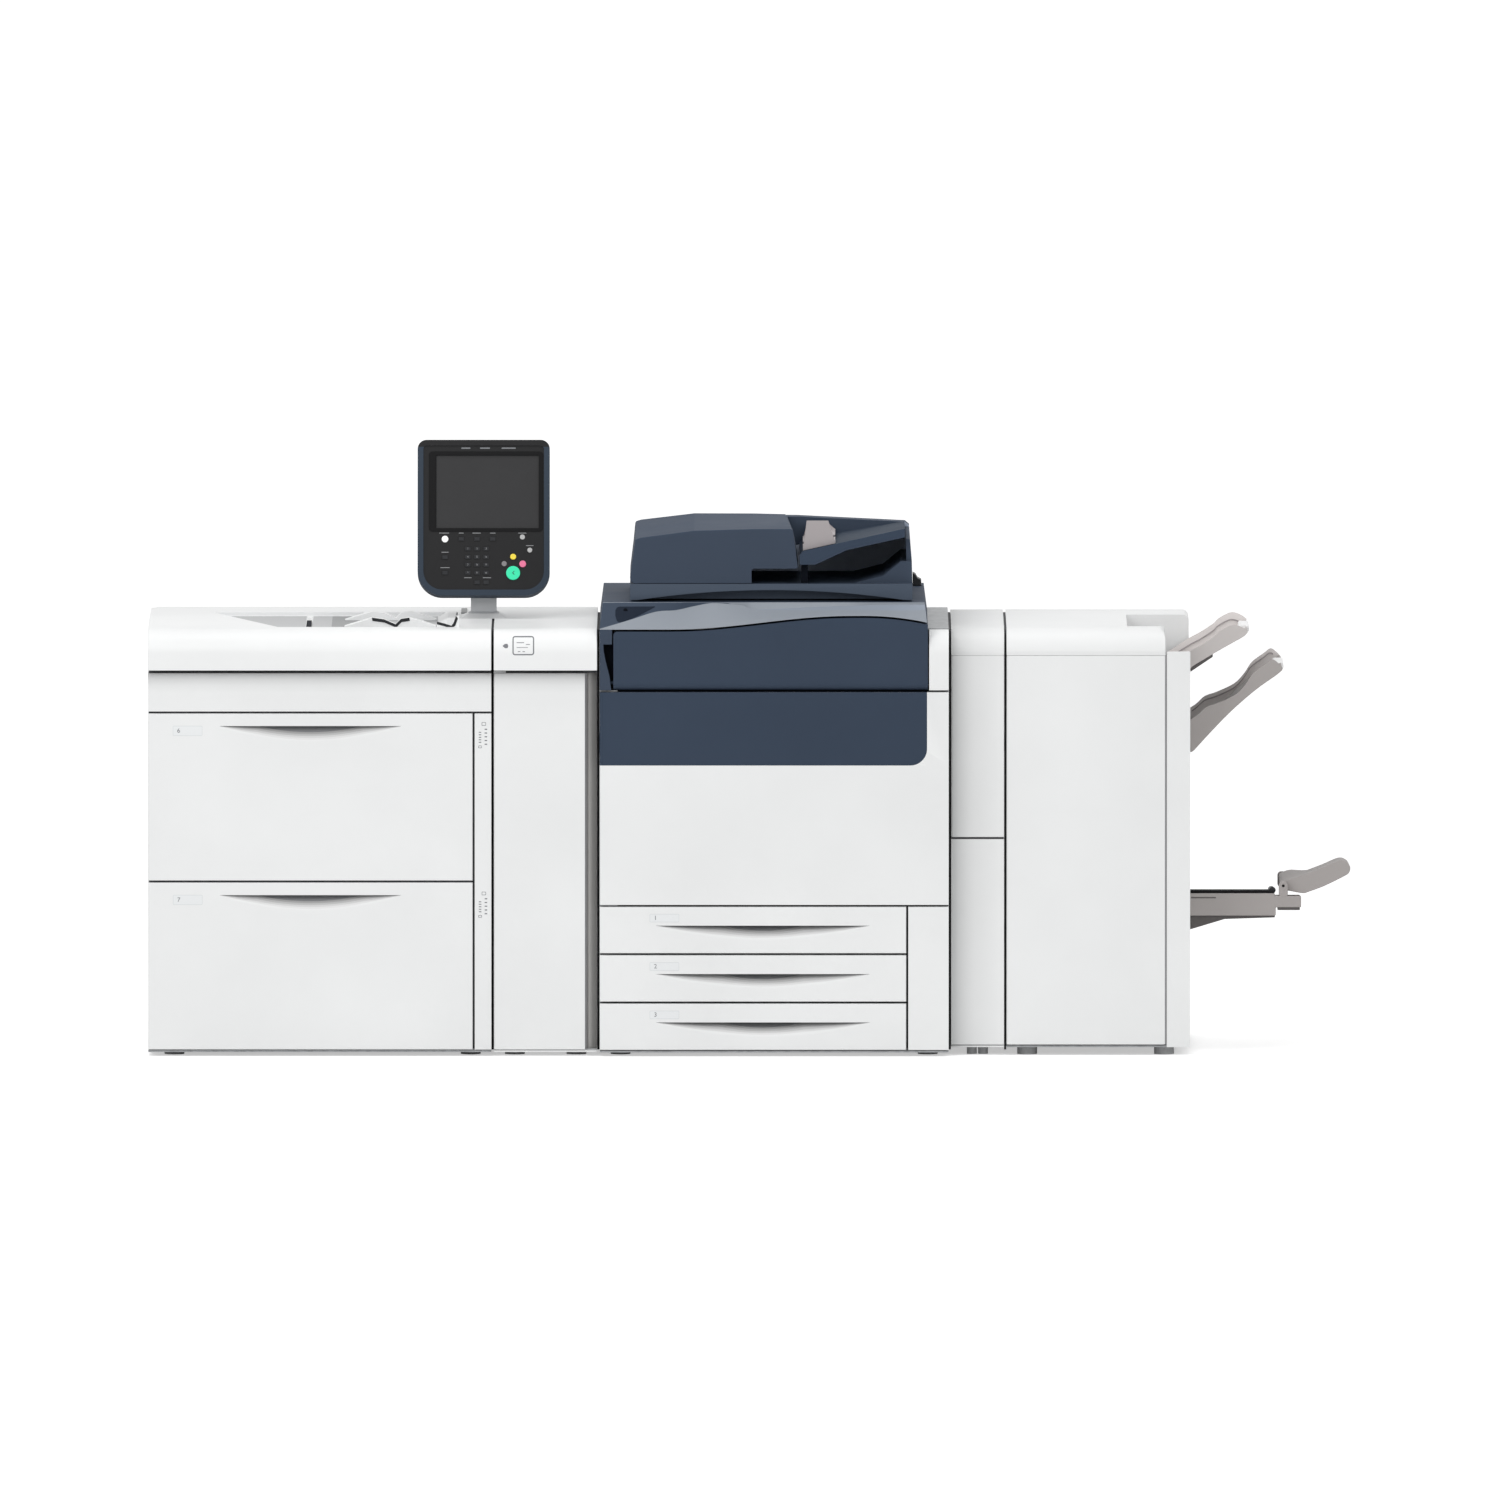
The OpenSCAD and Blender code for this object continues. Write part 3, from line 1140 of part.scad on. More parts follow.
module finisher_covers() color("whitesmoke") {
    // Top cover with the rounded front edge and the notch of the top tray
    difference() {
        union() {
            along_x(x_n0, x_n1) rect([fin_frame_y0, fin_floor_z], [finisher_back, nose_z0]);
            along_x(x_n0, x_n1) nose_profile(finisher_y, finisher_nose_r, finisher_back, deck_z);
        }
        box([x_n0 + cap_t, fin_frame_y0 + cap_t, fin_floor_z - over],
            [notch_x0 - cap_t, finisher_back - cap_t, deck_z - 3 * cap_t]);
        box([notch_x0, notch_y0, fin_floor_z - over], [x_n1 + over, notch_y1, deck_z + over]);
        box([fin_door_x1, finisher_y - over, fin_floor_z - over],
            [x_n1 + over, notch_y0 + over, deck_z + over]);
        box([notch_x0 - 2 * cap_t, notch_y1 + cap_t, fin_floor_z - over],
            [x_n1 - cap_t, finisher_back - cap_t, deck_z - 3 * cap_t]);
    }
    hinge_plate(x_n0, finisher_y, finisher_door_t, fin_door_z1 + shelf_lift, fin_frame_y0 + cap_t, false);
    // Pillar right of the door
    box([x_n1 - pillar_w, finisher_y, finisher_foot_h], [x_n1, fin_frame_y0, nose_z0 + wall]);
    // Right side cover with the exits and the slot of the stacker tray's bracket
    difference() {
        box([x_n1 - fin_side_t, fin_frame_y0, finisher_foot_h], [x_n1, finisher_y1, fin_floor_z]);
        box([x_n1 - 2 * fin_side_t, exit_y - slot_y, booklet_z + out_gap],
            [x_n1 + over, exit_y + slot_y, booklet_z + out_gap + slot_h]);
        box([x_n1 - 2 * fin_side_t, exit_y - slot_y, stack_z0 + stack_root],
            [x_n1 + over, exit_y + slot_y, stack_z0 + stack_root + slot_h]);
        for (s = [-1, 1]) translate([0, exit_y + s * bracket_w, 0])
            box([x_n1 - 2 * fin_side_t, -rail_w / 2, stack_z0 - stacker_drop - wall],
                [x_n1 + over, rail_w / 2, stack_z0 + stack_root_t + wall]);
    }
}

module top_tray() color("tan") translate([x_n1 + out_gap, 0, fin_floor_z]) {
    rise = top_reach * tan(top_slope);
    thick = top_tray_t / cos(top_slope);
    along_y(top_tray_y0, top_tray_y1) polygon([
        [0, 0], [top_reach, rise], [top_reach, rise + thick],
        [0, thick], [-top_root, thick], [-top_root, 0]]);
    for (y = [top_tray_y0, top_tray_y1 - top_tray_t]) along_y(y, y + top_tray_t) polygon([
        [0, thick], [top_reach, rise + thick], [top_reach / 2, rise / 2 + thick + top_lip_h],
        [0, thick + top_lip_h]]);
}

module stacker_tray() color("tan") translate([x_n1 + out_gap, exit_y, stack_z0]) {
    root = [0, stack_root_t];
    tip = [stack_len, stack_rise];
    along_y(-stack_half, stack_half) polygon([
        [0, 0], [stack_t, 0], [tip.x, tip.y - stack_t], tip, [tip.x - stack_t, tip.y],
        [stack_root_t / 2, root.y], root]);
    for (y = [-stack_half, stack_half - stack_wall_t]) along_y(y, y + stack_wall_t) polygon([
        root, [tip.x * stack_shares[0], tip.y * stack_shares[0] + stack_t],
        [tip.x * stack_shares[1], tip.y * stack_shares[0] + stack_wall_h / 3],
        [tip.x / 2, tip.y / 2 + stack_wall_h], [0, stack_wall_h]]);
    for (s = [-1, 1]) translate([0, s * bracket_w, 0])
        box([-fin_side_t - out_gap, -rail_w / 2 + slide_gap, 0],
            [over, rail_w / 2 - slide_gap, stack_root_t]);
}

module booklet_tray() color("tan") translate([x_n1, exit_y, booklet_z]) {
    difference() {
        union() {
            box([0, -booklet_half, -booklet_t], [booklet_len, booklet_half, 0]);
            box([booklet_len - over, -booklet_half, -booklet_step_t - wall],
                [booklet_len + booklet_step, booklet_half, -wall]);
            box([0, -booklet_half / 2, 0], [belt_reach, booklet_half / 2, 2 * wall]);
            for (s = [-1, 1])
                translate([flap_x - x_n1, s * (booklet_half - ear_t / 2) - ear_t / 2, flap_z - booklet_z]) {
                rotate([-90, 0, 0]) cylinder(h = ear_t, r = flap_pin_r);
                box([-flap_pin_r, 0, booklet_z - flap_z - 2 * wall], [flap_pin_r, ear_t, 0]);
            }
        }
        box([wall, -booklet_half + wall, -booklet_t - over],
            [booklet_len - wall, booklet_half - wall, -booklet_sink]);
        translate([flap_x - x_n1, -2 * booklet_half, flap_z - booklet_z]) rotate([-90, 0, 0])
            cylinder(h = 4 * booklet_half, d = pin_d + 2 * pin_fit);
    }
}

module booklet_flap() color("dimgray") translate([flap_x, exit_y, flap_z]) {
    half = booklet_half - ear_t - ear_gap;
    reach = flap_reach / cos(flap_slope);
    rotate([0, -flap_slope, 0]) along_y(-half, half) {
        circle(flap_t);
        rect([0, 0], [reach - flap_t, flap_t]);
        translate([reach - flap_t, 0]) intersection() {
            circle(flap_t);
            rect([-flap_t, 0], [flap_t, flap_t]);
        }
    }
    translate([0, -booklet_half, 0]) rotate([-90, 0, 0]) cylinder(h = 2 * booklet_half, d = pin_d);
}

// Fixed front covers: feeder panel and status strip, engine right strip and lower-right cover
module fixed_front_covers() color("whitesmoke") {
    box([x_f0, panel_y, upper_z0], [x_f1, back_of_fronts + plane_gap, upper_z1]);
    box([drawer_x1 + seam, panel_y, panel_z0], [x_f1, back_of_fronts + plane_gap, upper_z0 - seam]);
    box([cover_x0, engine_y, panel_z0], [x_e1, back_of_fronts + plane_gap, door_z0 - seam]);
    difference() {
        union() {
            box([toner_x1 + toner_gap, engine_y, toner_z0], [x_e1, back_of_fronts + plane_gap, nose_z0]);
            along_x(toner_x1 + toner_gap, x_e1)
                nose_profile(engine_y, finisher_nose_r, back_of_fronts + plane_gap, deck_z);
        }
        translate([toner_x1 - over, engine_y + toner_hinge_r, toner_z0 + toner_hinge_r]) rotate([0, 90, 0])
            cylinder(h = toner_gap + toner_pin_reach + over + plane_gap, d = pin_d + 2 * pin_fit);
    }
}

// Rear covers, with the power inlet's opening in the engine's, and the feeder's side cover
inlet_w = 50;
inlet_h = 28;
inlet_inset = 90;
inlet_x = x_e1 - inlet_inset;
inlet_z = 110;
inlet_deep = 16;
module rear_and_side_covers() color("whitesmoke") {
    feeder_side_cover();
    box([x_f0 + side_cover_t, frame_y1, foot_h], [x_f1, rear_y, deck_z]);
    box([x_i0, frame_y1, foot_h], [x_i1, rear_y, deck_z]);
    difference() {
        box([x_e0, frame_y1, foot_h], [x_e1, rear_y, deck_z]);
        box([inlet_x, rear_y - inlet_deep, inlet_z], [inlet_x + inlet_w, rear_y + over, inlet_z + inlet_h]);
    }
    box([x_t0, finisher_back, finisher_foot_h], [x_t1, finisher_y1, deck_z]);
    difference() {
        box([x_n0, finisher_back, finisher_foot_h], [x_n1, finisher_y1, deck_z]);
        box([x_n1 - fin_side_t, finisher_back - over, finisher_foot_h - over],
            [x_n1 + over, finisher_y1 + over, fin_floor_z]);
    }
}

foot_r = 24;
foot_inset = 50;
module levelling_feet() color("dimgray") {
    for (m = [[x_f0 + side_cover_t, x_f1, frame_y1, foot_h], [x_i0, x_i1, frame_y1, foot_h],
              [x_e0, x_e1, frame_y1, foot_h], [x_n0, x_n1 - fin_side_t, finisher_back, finisher_foot_h],
              [x_t0, x_t1, finisher_back, finisher_foot_h]],
         x = [m[0] + foot_inset, m[1] - foot_inset], y = [frame_y0 + foot_inset, m[2] - foot_inset])
        translate([x, y, 0]) cylinder(h = m[3], r = foot_r / (m[1] - m[0] < 3 * foot_inset ? 2 : 1));
}

feeder_frame();
feeder_top_cover();
bypass_guide_front();
bypass_guide_rear();
bypass_feed_head();
front_bezels();
fixed_front_covers();
drawer_runners();
upper_drawer_front();
upper_drawer_bin();
upper_lift_plate();
lower_drawer_front();
lower_drawer_bin();
lower_lift_plate();
interface_frame();
interface_door();
panel_stand();
panel_housing();
panel_face();
touch_screen();
keypad_mat();
home_button();
interrupt_button();
clear_button();
stop_button();
start_button();
power_button();
engine_frame();
front_door();
door_panel();
toner_cover();
toner_cartridges();
drum_units();
transfer_belt();
fuser_unit();
tray_1_front();
tray_1_bin();
tray_2_front();
tray_2_bin();
tray_3_front();
tray_3_bin();
scanner_housing();
platen_glass();
scan_carriage();
adf_base();
adf_cover();
adf_input_tray();
document_guide_front();
document_guide_rear();
transport_frame();
transport_door();
finisher_frame();
finisher_covers();
finisher_door();
top_tray();
stacker_tray();
booklet_tray();
booklet_flap();
rear_and_side_covers();
levelling_feet();
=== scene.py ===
"""Looks of the digital production printer: finishes, softened edges and small parts round the CAD model.

Lengths here are in millimetres of the shared frame and are turned into metres when a mesh is made.
"""

import json
import math

import bmesh
import bpy
import numpy as np
from mathutils import Matrix, Vector

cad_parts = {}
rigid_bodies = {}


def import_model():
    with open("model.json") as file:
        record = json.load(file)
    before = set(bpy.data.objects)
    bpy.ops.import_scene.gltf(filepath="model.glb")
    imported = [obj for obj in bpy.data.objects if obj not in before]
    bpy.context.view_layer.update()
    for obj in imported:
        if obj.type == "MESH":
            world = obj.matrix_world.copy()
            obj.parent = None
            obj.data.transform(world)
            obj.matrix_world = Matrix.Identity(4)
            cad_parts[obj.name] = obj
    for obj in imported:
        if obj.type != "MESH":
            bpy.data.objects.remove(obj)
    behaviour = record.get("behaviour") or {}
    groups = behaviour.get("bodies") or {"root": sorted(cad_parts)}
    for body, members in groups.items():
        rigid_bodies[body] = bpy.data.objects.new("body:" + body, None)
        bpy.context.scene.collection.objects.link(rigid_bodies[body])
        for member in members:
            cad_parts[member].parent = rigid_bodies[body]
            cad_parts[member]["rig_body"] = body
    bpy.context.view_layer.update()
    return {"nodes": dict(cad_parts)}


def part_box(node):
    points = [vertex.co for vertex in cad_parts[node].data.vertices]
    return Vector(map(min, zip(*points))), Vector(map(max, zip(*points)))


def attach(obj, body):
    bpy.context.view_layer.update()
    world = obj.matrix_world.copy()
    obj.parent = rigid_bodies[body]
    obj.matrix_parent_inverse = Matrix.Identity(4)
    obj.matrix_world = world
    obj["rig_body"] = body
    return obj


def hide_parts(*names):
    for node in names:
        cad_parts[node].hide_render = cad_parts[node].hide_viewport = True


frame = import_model()
MM = 0.001

# Camera, light and floor; the camera's distance and the floor's half size are in metres, and angles are
# in degrees here as everywhere
CAMERA_AIM = (0.0, -395.0, 739.0)
CAMERA_DISTANCE = 129.0
CAMERA_ELEVATION = 4.2
LENS = 1290.0
SENSOR = 36.0
WORLD_LIGHT = 0.62
FLOOR_HALF = 60.0
FLOOR_GLOW = 0.5

# Levels and places of the CAD model that new pieces are set against
DECK_Z = 1028.0
FRONT_Y = -395.0
REAR_Y = 395.0
ENGINE_Y = -387.0
PANEL_Y = -373.0
FINISHER_Y = -350.0
FINISHER_REAR_Y = 310.0
BACK_OF_FRONTS = -344.0
FEEDER_X = (-1443.0, -622.0)
ENGINE_X = (-361.0, 477.0)
FINISHER_X = (616.5, 997.0, 1057.0)
SCANNER_X = (-361.0, 427.0)
TONER_X = (-328.0, 427.0)
TONER_TOP = 1023.0
SEAM = 5.0
DOOR_EDGE = 2.6
PLATEN_Z = 1089.0
PLATEN_Y = -320.0
PANEL_PIVOT = (-641.0, 50.0, 1150.0)
PANEL_LEAN = 12.0
PANEL_FACE = -64.0
INPUT_TRAY_FOOT = (119.0, 1196.0)
INPUT_TRAY_SLOPE = 0.2213


# Materials
def add_node(tree, kind, feeds=(), **values):
    """New shader node with values of its inputs or settings, and with (input, source) pairs linked to it."""
    made = tree.nodes.new("ShaderNode" + kind)
    for key, value in values.items():
        if key in made.inputs:
            made.inputs[key].default_value = value
        else:
            setattr(made, key, value)
    for key, source in feeds:
        tree.links.new(source, made.inputs[key])
    return made


class Finish:
    """A node material built step by step; coordinates are the shared frame's, in metres."""

    def __init__(self, name):
        self.material = bpy.data.materials.new(name)
        self.material.use_nodes = True
        self.tree = self.material.node_tree
        self.bsdf = self.tree.nodes["Principled BSDF"]
        self.coords = self.tree.nodes.new("ShaderNodeTexCoord").outputs["Object"]

    def node(self, kind, feeds=(), **values):
        return add_node(self.tree, kind, feeds, **values)

    def drive(self, key, source):
        """Links a source to an input of the shader."""
        self.tree.links.new(source, self.bsdf.inputs[key])

    def noise(self, scale, detail=3.0, stretch=(1.0, 1.0, 1.0)):
        """Noise of a scale, which may be stretched along the axes."""
        mapping = self.node("Mapping", [("Vector", self.coords)], Scale=stretch)
        feeds = [("Vector", mapping.outputs["Vector"])]
        return self.node("TexNoise", feeds, Scale=scale, Detail=detail).outputs["Fac"]

    def ramp(self, factor, stops):
        """Colour ramp through (position, colour) stops."""
        made = self.node("ValToRGB", [("Fac", factor)])
        elements = made.color_ramp.elements
        while len(elements) < len(stops):
            elements.new(0.5)
        for i, (position, colour) in enumerate(stops):
            elements[i].position = position
            elements[i].color = (*colour, 1)
        return made.outputs["Color"]

    def colour(self, low, high, factor):
        """Base colour between two tones, by a factor."""
        self.drive("Base Color", self.ramp(factor, ((0.35, low), (0.65, high))))

    def mottle(self, colour, darker, lighter, factor):
        """Base colour that varies between two shares of an sRGB colour."""
        tones = [tuple(min(1.0, c * part) for c in linear(colour)) for part in (darker, lighter)]
        self.colour(*tones, factor)

    def shade(self, axis, stops):
        """Multiplies the base colour by tones set at places (mm) along an axis: painted shade."""
        split = self.node("SeparateXYZ", [("Vector", self.coords)])
        first, last = stops[0][0], stops[-1][0]
        span = self.node("MapRange", [("Value", split.outputs[axis])],
                         **{"From Min": first * MM, "From Max": last * MM})
        tones = [((place - first) / (last - first), (tone, tone, tone)) for place, tone in stops]
        # A colour mix has its factor at input 0, its colours at inputs 6 and 7, and the result at output 2
        base = self.bsdf.inputs["Base Color"].links[0].from_socket
        mix = self.node("Mix", [(6, base), (7, self.ramp(span.outputs["Result"], tones))],
                        data_type="RGBA", blend_type="MULTIPLY")
        mix.inputs[0].default_value = 1.0
        self.drive("Base Color", mix.outputs[2])

    def roughness(self, low, high, factor):
        span = self.node("MapRange", [("Value", factor)], **{"To Min": low, "To Max": high})
        self.drive("Roughness", span.outputs["Result"])

    def bump(self, height, strength, distance):
        made = self.node("Bump", [("Height", height)], Strength=strength, Distance=distance)
        self.drive("Normal", made.outputs["Normal"])

    def set(self, **values):
        """Fixed values of the shader's inputs, with _ for each blank in their names."""
        for key, value in values.items():
            self.bsdf.inputs[key.replace("_", " ")].default_value = value


def linear(colour):
    """Linear tones of an sRGB colour, or of one grey, from 0 to 255."""
    def one(v):
        v /= 255
        return v / 12.92 if v <= 0.04045 else ((v + 0.055) / 1.055) ** 2.4
    return tuple(one(v) for v in (colour if isinstance(colour, tuple) else (colour,) * 3))


def moulded(name, colour, rough=0.5, grain=1100.0, bump=0.12, mottle=0.025, specular=0.35, shade=None,
            **more):
    """Injection-moulded plastic: spark-eroded grain, slightly uneven tone and gloss, and painted shade along
    an axis if a shade is given.
    """
    f = Finish(name)
    f.mottle(colour, 1 - mottle, 1 + mottle, f.noise(2.3, 4.0))
    f.roughness(rough - 0.06, rough + 0.06, f.noise(9.0, 2.0))
    f.bump(f.noise(grain, 2.0), bump, 0.0003)
    if shade:
        f.shade(*shade)
    f.set(Specular_IOR_Level=specular, **more)
    return f.material


def sheet_steel(name, colour, rough=0.42):
    """Zinc-coated sheet with a faint spangle and rolling marks."""
    f = Finish(name)
    spangle = f.node("TexVoronoi", [("Vector", f.coords)], Scale=70.0)
    f.mottle(colour, 0.9, 1.08, spangle.outputs["Distance"])
    f.roughness(rough - 0.08, rough + 0.1, f.noise(26.0, 3.0, (1.0, 1.0, 14.0)))
    f.bump(f.noise(320.0, 2.0, (1.0, 1.0, 9.0)), 0.06, 0.0002)
    f.set(Metallic=0.55)
    return f.material


def gloss(name, colour, rough=0.18, mottle=0.03, **more):
    """Smooth glossy plastic or film with faint smears."""
    f = Finish(name)
    f.mottle(colour, 1 - mottle, 1 + mottle, f.noise(14.0))
    f.roughness(rough - 0.05, rough + 0.07, f.noise(38.0, 4.0))
    f.bump(f.noise(60.0), 0.02, 0.0002)
    f.set(**more)
    return f.material


def glass(name):
    f = Finish(name)
    f.roughness(0.02, 0.08, f.noise(30.0))
    f.colour((0.86, 0.93, 0.94), (0.9, 0.96, 0.97), f.noise(6.0))
    f.set(Transmission_Weight=0.85, IOR=1.5)
    return f.material


def several(make, tones, **shared):
    """Materials that differ only in name and tone."""
    return [make(name, tone, **shared) for name, tone in tones.items()]


WHITE_TONE = (234, 235, 235)
STEEL_TONE = (150, 152, 154)
DARK_GRAIN = {"bump": 0.08, "mottle": 0.04}

WHITE = moulded("white_shell", WHITE_TONE, rough=0.46)
COVER_WHITE = moulded("white_cover", (236, 237, 237), rough=0.42, bump=0.09)
# Painted shadow of the bezels' overhang: the white darkens towards the bezel above it
BEZEL_PAINTED_SHADOW = moulded("white_painted_bezel_shadow", WHITE_TONE, rough=0.46,
                      shade=("Z", ((875, 1.0), (893, 0.93), (906, 0.8), (916, 0.62), (922, 0.5))))
# Painted shade on the transport's left side next to the engine: the white darkens towards the left
WHITE_PAINTED_SIDE_SHADE = moulded("white_transport_painted_shade", WHITE_TONE, rough=0.46,
                      shade=("X", ((482, 0.6), (500, 0.74), (540, 0.88), (600, 0.98), (612, 0.94))))
DARK, DARK_LIFT = several(moulded, {"dark_shell": (56, 67, 83), "dark_shell_upper": (62, 72, 87)}, rough=0.62,
                          specular=0.1, **DARK_GRAIN)
# Darker copy of the dark shell for the input tray's upward faces: painted shade
DARK_TOP_PAINTED_SHADE = moulded("dark_shell_top", (48, 58, 71), rough=0.66, specular=0.08, **DARK_GRAIN)
# Much lighter copy of the dark shell on the walls inside the feeder's output: painted light
CAVITY_PAINTED_LIGHT = moulded("dark_shell_cavity", (176, 186, 202), rough=0.7, specular=0.05, **DARK_GRAIN)
# Lighter copy of the dark shell on the feeder base's front band: painted light
LIP_PAINTED_LIGHT = moulded("dark_shell_lip", (75, 85, 99), rough=0.6, bump=0.06, mottle=0.03, specular=0.12)
# Light tones of the dark shell on the scanner's shoulder: painted highlight
LEDGE_PAINTED_HIGHLIGHT = moulded("dark_shell_ledge", (141, 147, 155), bump=0.05, mottle=0.04, specular=0.2)
WALL_PAINTED_HIGHLIGHT = moulded("dark_shell_groove", (141, 149, 161), bump=0.05, mottle=0.03, specular=0.2)
# Dark leaf on the shoulder: painted shadow of the grip pocket
GRIP_LEAF_PAINTED_SHADOW = moulded("grip_leaf", (34, 41, 53), rough=0.7, bump=0.05, specular=0.06)
STEEL = sheet_steel("frame_steel", STEEL_TONE)
INNER = moulded("inner_grey", STEEL_TONE, rough=0.55)
# Painted shade in the recess right of the interface door, darkest next to the engine
FILLER_PAINTED_SHADE = moulded("filler_strip_painted_shade", (214, 212, 209), rough=0.55,
                 shade=("X", ((-391, 0.62), (-386, 0.8), (-378, 0.36), (-367, 0.2))))
BLACK = moulded("black_plastic", (24, 26, 30), rough=0.45)
# Dark for the grip's button and the hinge post, and painted shadow in seams, slots and vents
DARK_AND_SLOT_SHADOW = moulded("dark_and_slot_shadow", (15, 19, 27), rough=0.7, specular=0.06)
# The third taupe is a much lighter copy for the trays' inner rear walls: painted light
TAUPE, TAUPE_LIGHT, TAUPE_PAINTED_LIGHT = several(moulded, {
    "taupe_plastic": (166, 161, 159), "taupe_light": (197, 192, 190), "taupe_inside": (232, 227, 225)},
    rough=0.55, mottle=0.04, specular=0.2)
# Dark taupe for keels under the trays and a crease line: painted shade
TAUPE_PAINTED_SHADE = moulded("taupe_underside_painted_shade", (96, 93, 92), rough=0.6, mottle=0.05, specular=0.2)
GUIDE_TAUPE = moulded("guide_taupe", (165, 159, 160), mottle=0.05)
TIP = moulded("tray_tip", 240, rough=0.3)
STAND = moulded("stand_grey", (196, 198, 200), grain=600.0)
PANEL_BLACK = moulded("panel_black", (40, 40, 41), rough=0.6, bump=0.05, specular=0.12)
FRAME_BLACK = moulded("screen_surround", (26, 26, 27), rough=0.6, bump=0.05, specular=0.08)
RIM = moulded("panel_rim", (52, 62, 74), rough=0.6, bump=0.05, specular=0.15)
SCREEN = gloss("screen", (58, 58, 59), rough=0.3, mottle=0.015, Specular_IOR_Level=0.08)
RUBBER = moulded("key_rubber", (38, 39, 42), rough=0.7, grain=700.0)
# The home key glows a little though it holds no lamp: painted light
KEY_WHITE_PAINTED_GLOW = gloss("key_white", 245, Emission_Color=(1, 1, 1, 1), Emission_Strength=0.12)
KEY_GREY, KEY_DIM, KEY_YELLOW, KEY_PINK = several(gloss, {
    "key_grey": 178, "key_dim": (128, 126, 128), "key_yellow": (248, 222, 70), "key_pink": (240, 120, 160)})
# Green with a glow, on the start key and on the drum grips and fuser lever inside: the glow is painted light
GREEN_PAINTED_GLOW = gloss("key_green", (48, 214, 160), Emission_Color=(0.03, 0.6, 0.35, 1), Emission_Strength=0.25)
BELT = moulded("belt_film", (30, 29, 31), rough=0.6, grain=600.0, mottle=0.05, specular=0.1)
GLASS = glass("platen_glass")
INK, PALE_INK, RECESS_GREY, RECESS_DEEP = several(moulded, {
    "print_grey": (120, 122, 126), "print_pale": (218, 221, 222), "recess_grey": (186, 187, 188),
    "recess_deep": (150, 151, 152)}, rough=0.6)
LIGHT_INK = moulded("print_light", (142, 143, 145))
LABEL = moulded("label_film", (232, 234, 235), rough=0.35, grain=500.0)
# Greys of painted shadow in the seams, the soft one also drawing joint lines round the rear plates; a grey
# for the handles' pockets
SEAM_PAINTED_SHADOW, SOFT_SEAM_SHADOW_AND_LINE, GRIP_PAINTED_SHADE = several(moulded, {
    "seam_grey": (66, 66, 68), "seam_soft": (142, 142, 144), "grip_shade": (140, 141, 143)}, rough=0.7)
# Greys for bands of painted shade in the handles' dishes
DISH_PAINTED_SHADES = several(moulded, {f"dish_shade_{i}": tone for i, tone in enumerate((176, 196, 213, 226))},
                      rough=0.55)
BRASS = moulded("brass_pin", (190, 160, 90), rough=0.3, Metallic=0.8)
SCREW = moulded("screw_zinc", (170, 172, 175), rough=0.35, Metallic=0.6)
TONERS = several(moulded, {
    "toner_yellow": (240, 205, 40), "toner_magenta": (200, 50, 120), "toner_cyan": (30, 140, 190),
    "toner_black": (30, 30, 34)}, rough=0.35)

# Materials by slot; any other material's slot has the material's own name
SLOT_FAMILIES = {
    "white_shell": (WHITE, COVER_WHITE, BEZEL_PAINTED_SHADOW, WHITE_PAINTED_SIDE_SHADE, FILLER_PAINTED_SHADE, RECESS_GREY, RECESS_DEEP, PALE_INK,
                    LABEL, *DISH_PAINTED_SHADES),
    "dark_shell": (DARK, DARK_LIFT, RIM),
    "black_plastic": (BLACK, DARK_AND_SLOT_SHADOW, SEAM_PAINTED_SHADOW, SOFT_SEAM_SHADOW_AND_LINE, GRIP_LEAF_PAINTED_SHADOW, INK, *TONERS),
    "panel_black": (PANEL_BLACK, FRAME_BLACK, LIGHT_INK),
    "taupe_plastic": (TAUPE, TAUPE_LIGHT, TAUPE_PAINTED_SHADE, GUIDE_TAUPE, TIP),
    "frame_steel": (STEEL, SCREW, BRASS),
    "key_grey": (KEY_GREY, KEY_DIM)}
SLOT_OF = {material.name: slot for slot, family in SLOT_FAMILIES.items() for material in family}


# Mesh tools
UPRIGHT = Matrix.Rotation(math.radians(90), 4, "X")


def vert(bm, x, y, z):
    """New vertex at a place in millimetres."""
    return bm.verts.new(Vector((x, y, z)) * MM)


def mm(place):
    """A place of a mesh in millimetres."""
    return tuple(c / MM for c in place)


def share(v, start, end):
    """How far v lies from start to end, held between 0 and 1."""
    return min(1.0, max(0.0, (v - start) / (end - start)))


def patch(bm, corners, index=0):
    """Face on the corners that differ, if there are three or more."""
    corners = list(dict.fromkeys(corners))
    if len(corners) > 2:
        bm.faces.new(corners).material_index = index


def skin(bm, rings, index=lambda k, i: 0, ends=True):
    """Quads between successive closed rows of vertices, and a face on each end."""
    for k, (a, b) in enumerate(zip(rings, rings[1:])):
        for i in range(len(a)):
            j = (i + 1) % len(a)
            patch(bm, (a[i], a[j], b[j], b[i]), index(k, i))
    if ends:
        bm.faces.new(rings[0])
        bm.faces.new(rings[-1])
    return bm


def along(axis, lo, hi, outline):
    """bmesh of an outline swept along an axis; the outline's pairs are the other two axes in order."""
    bm = bmesh.new()
    spot = "xyz".index(axis)
    return skin(bm, [[vert(bm, *pair[:spot], t, *pair[spot:]) for pair in outline] for t in (lo, hi)])


def rounded(x0, z0, x1, z1, r, steps=5):
    """Outline of a rectangle with rounded corners."""
    points = []
    for k, (cx, cz) in enumerate(((x1 - r, z1 - r), (x0 + r, z1 - r), (x0 + r, z0 + r), (x1 - r, z0 + r))):
        for i in range(steps + 1):
            a = math.radians(90 * k + 90 * i / steps)
            points.append((cx + r * math.cos(a), cz + r * math.sin(a)))
    return points


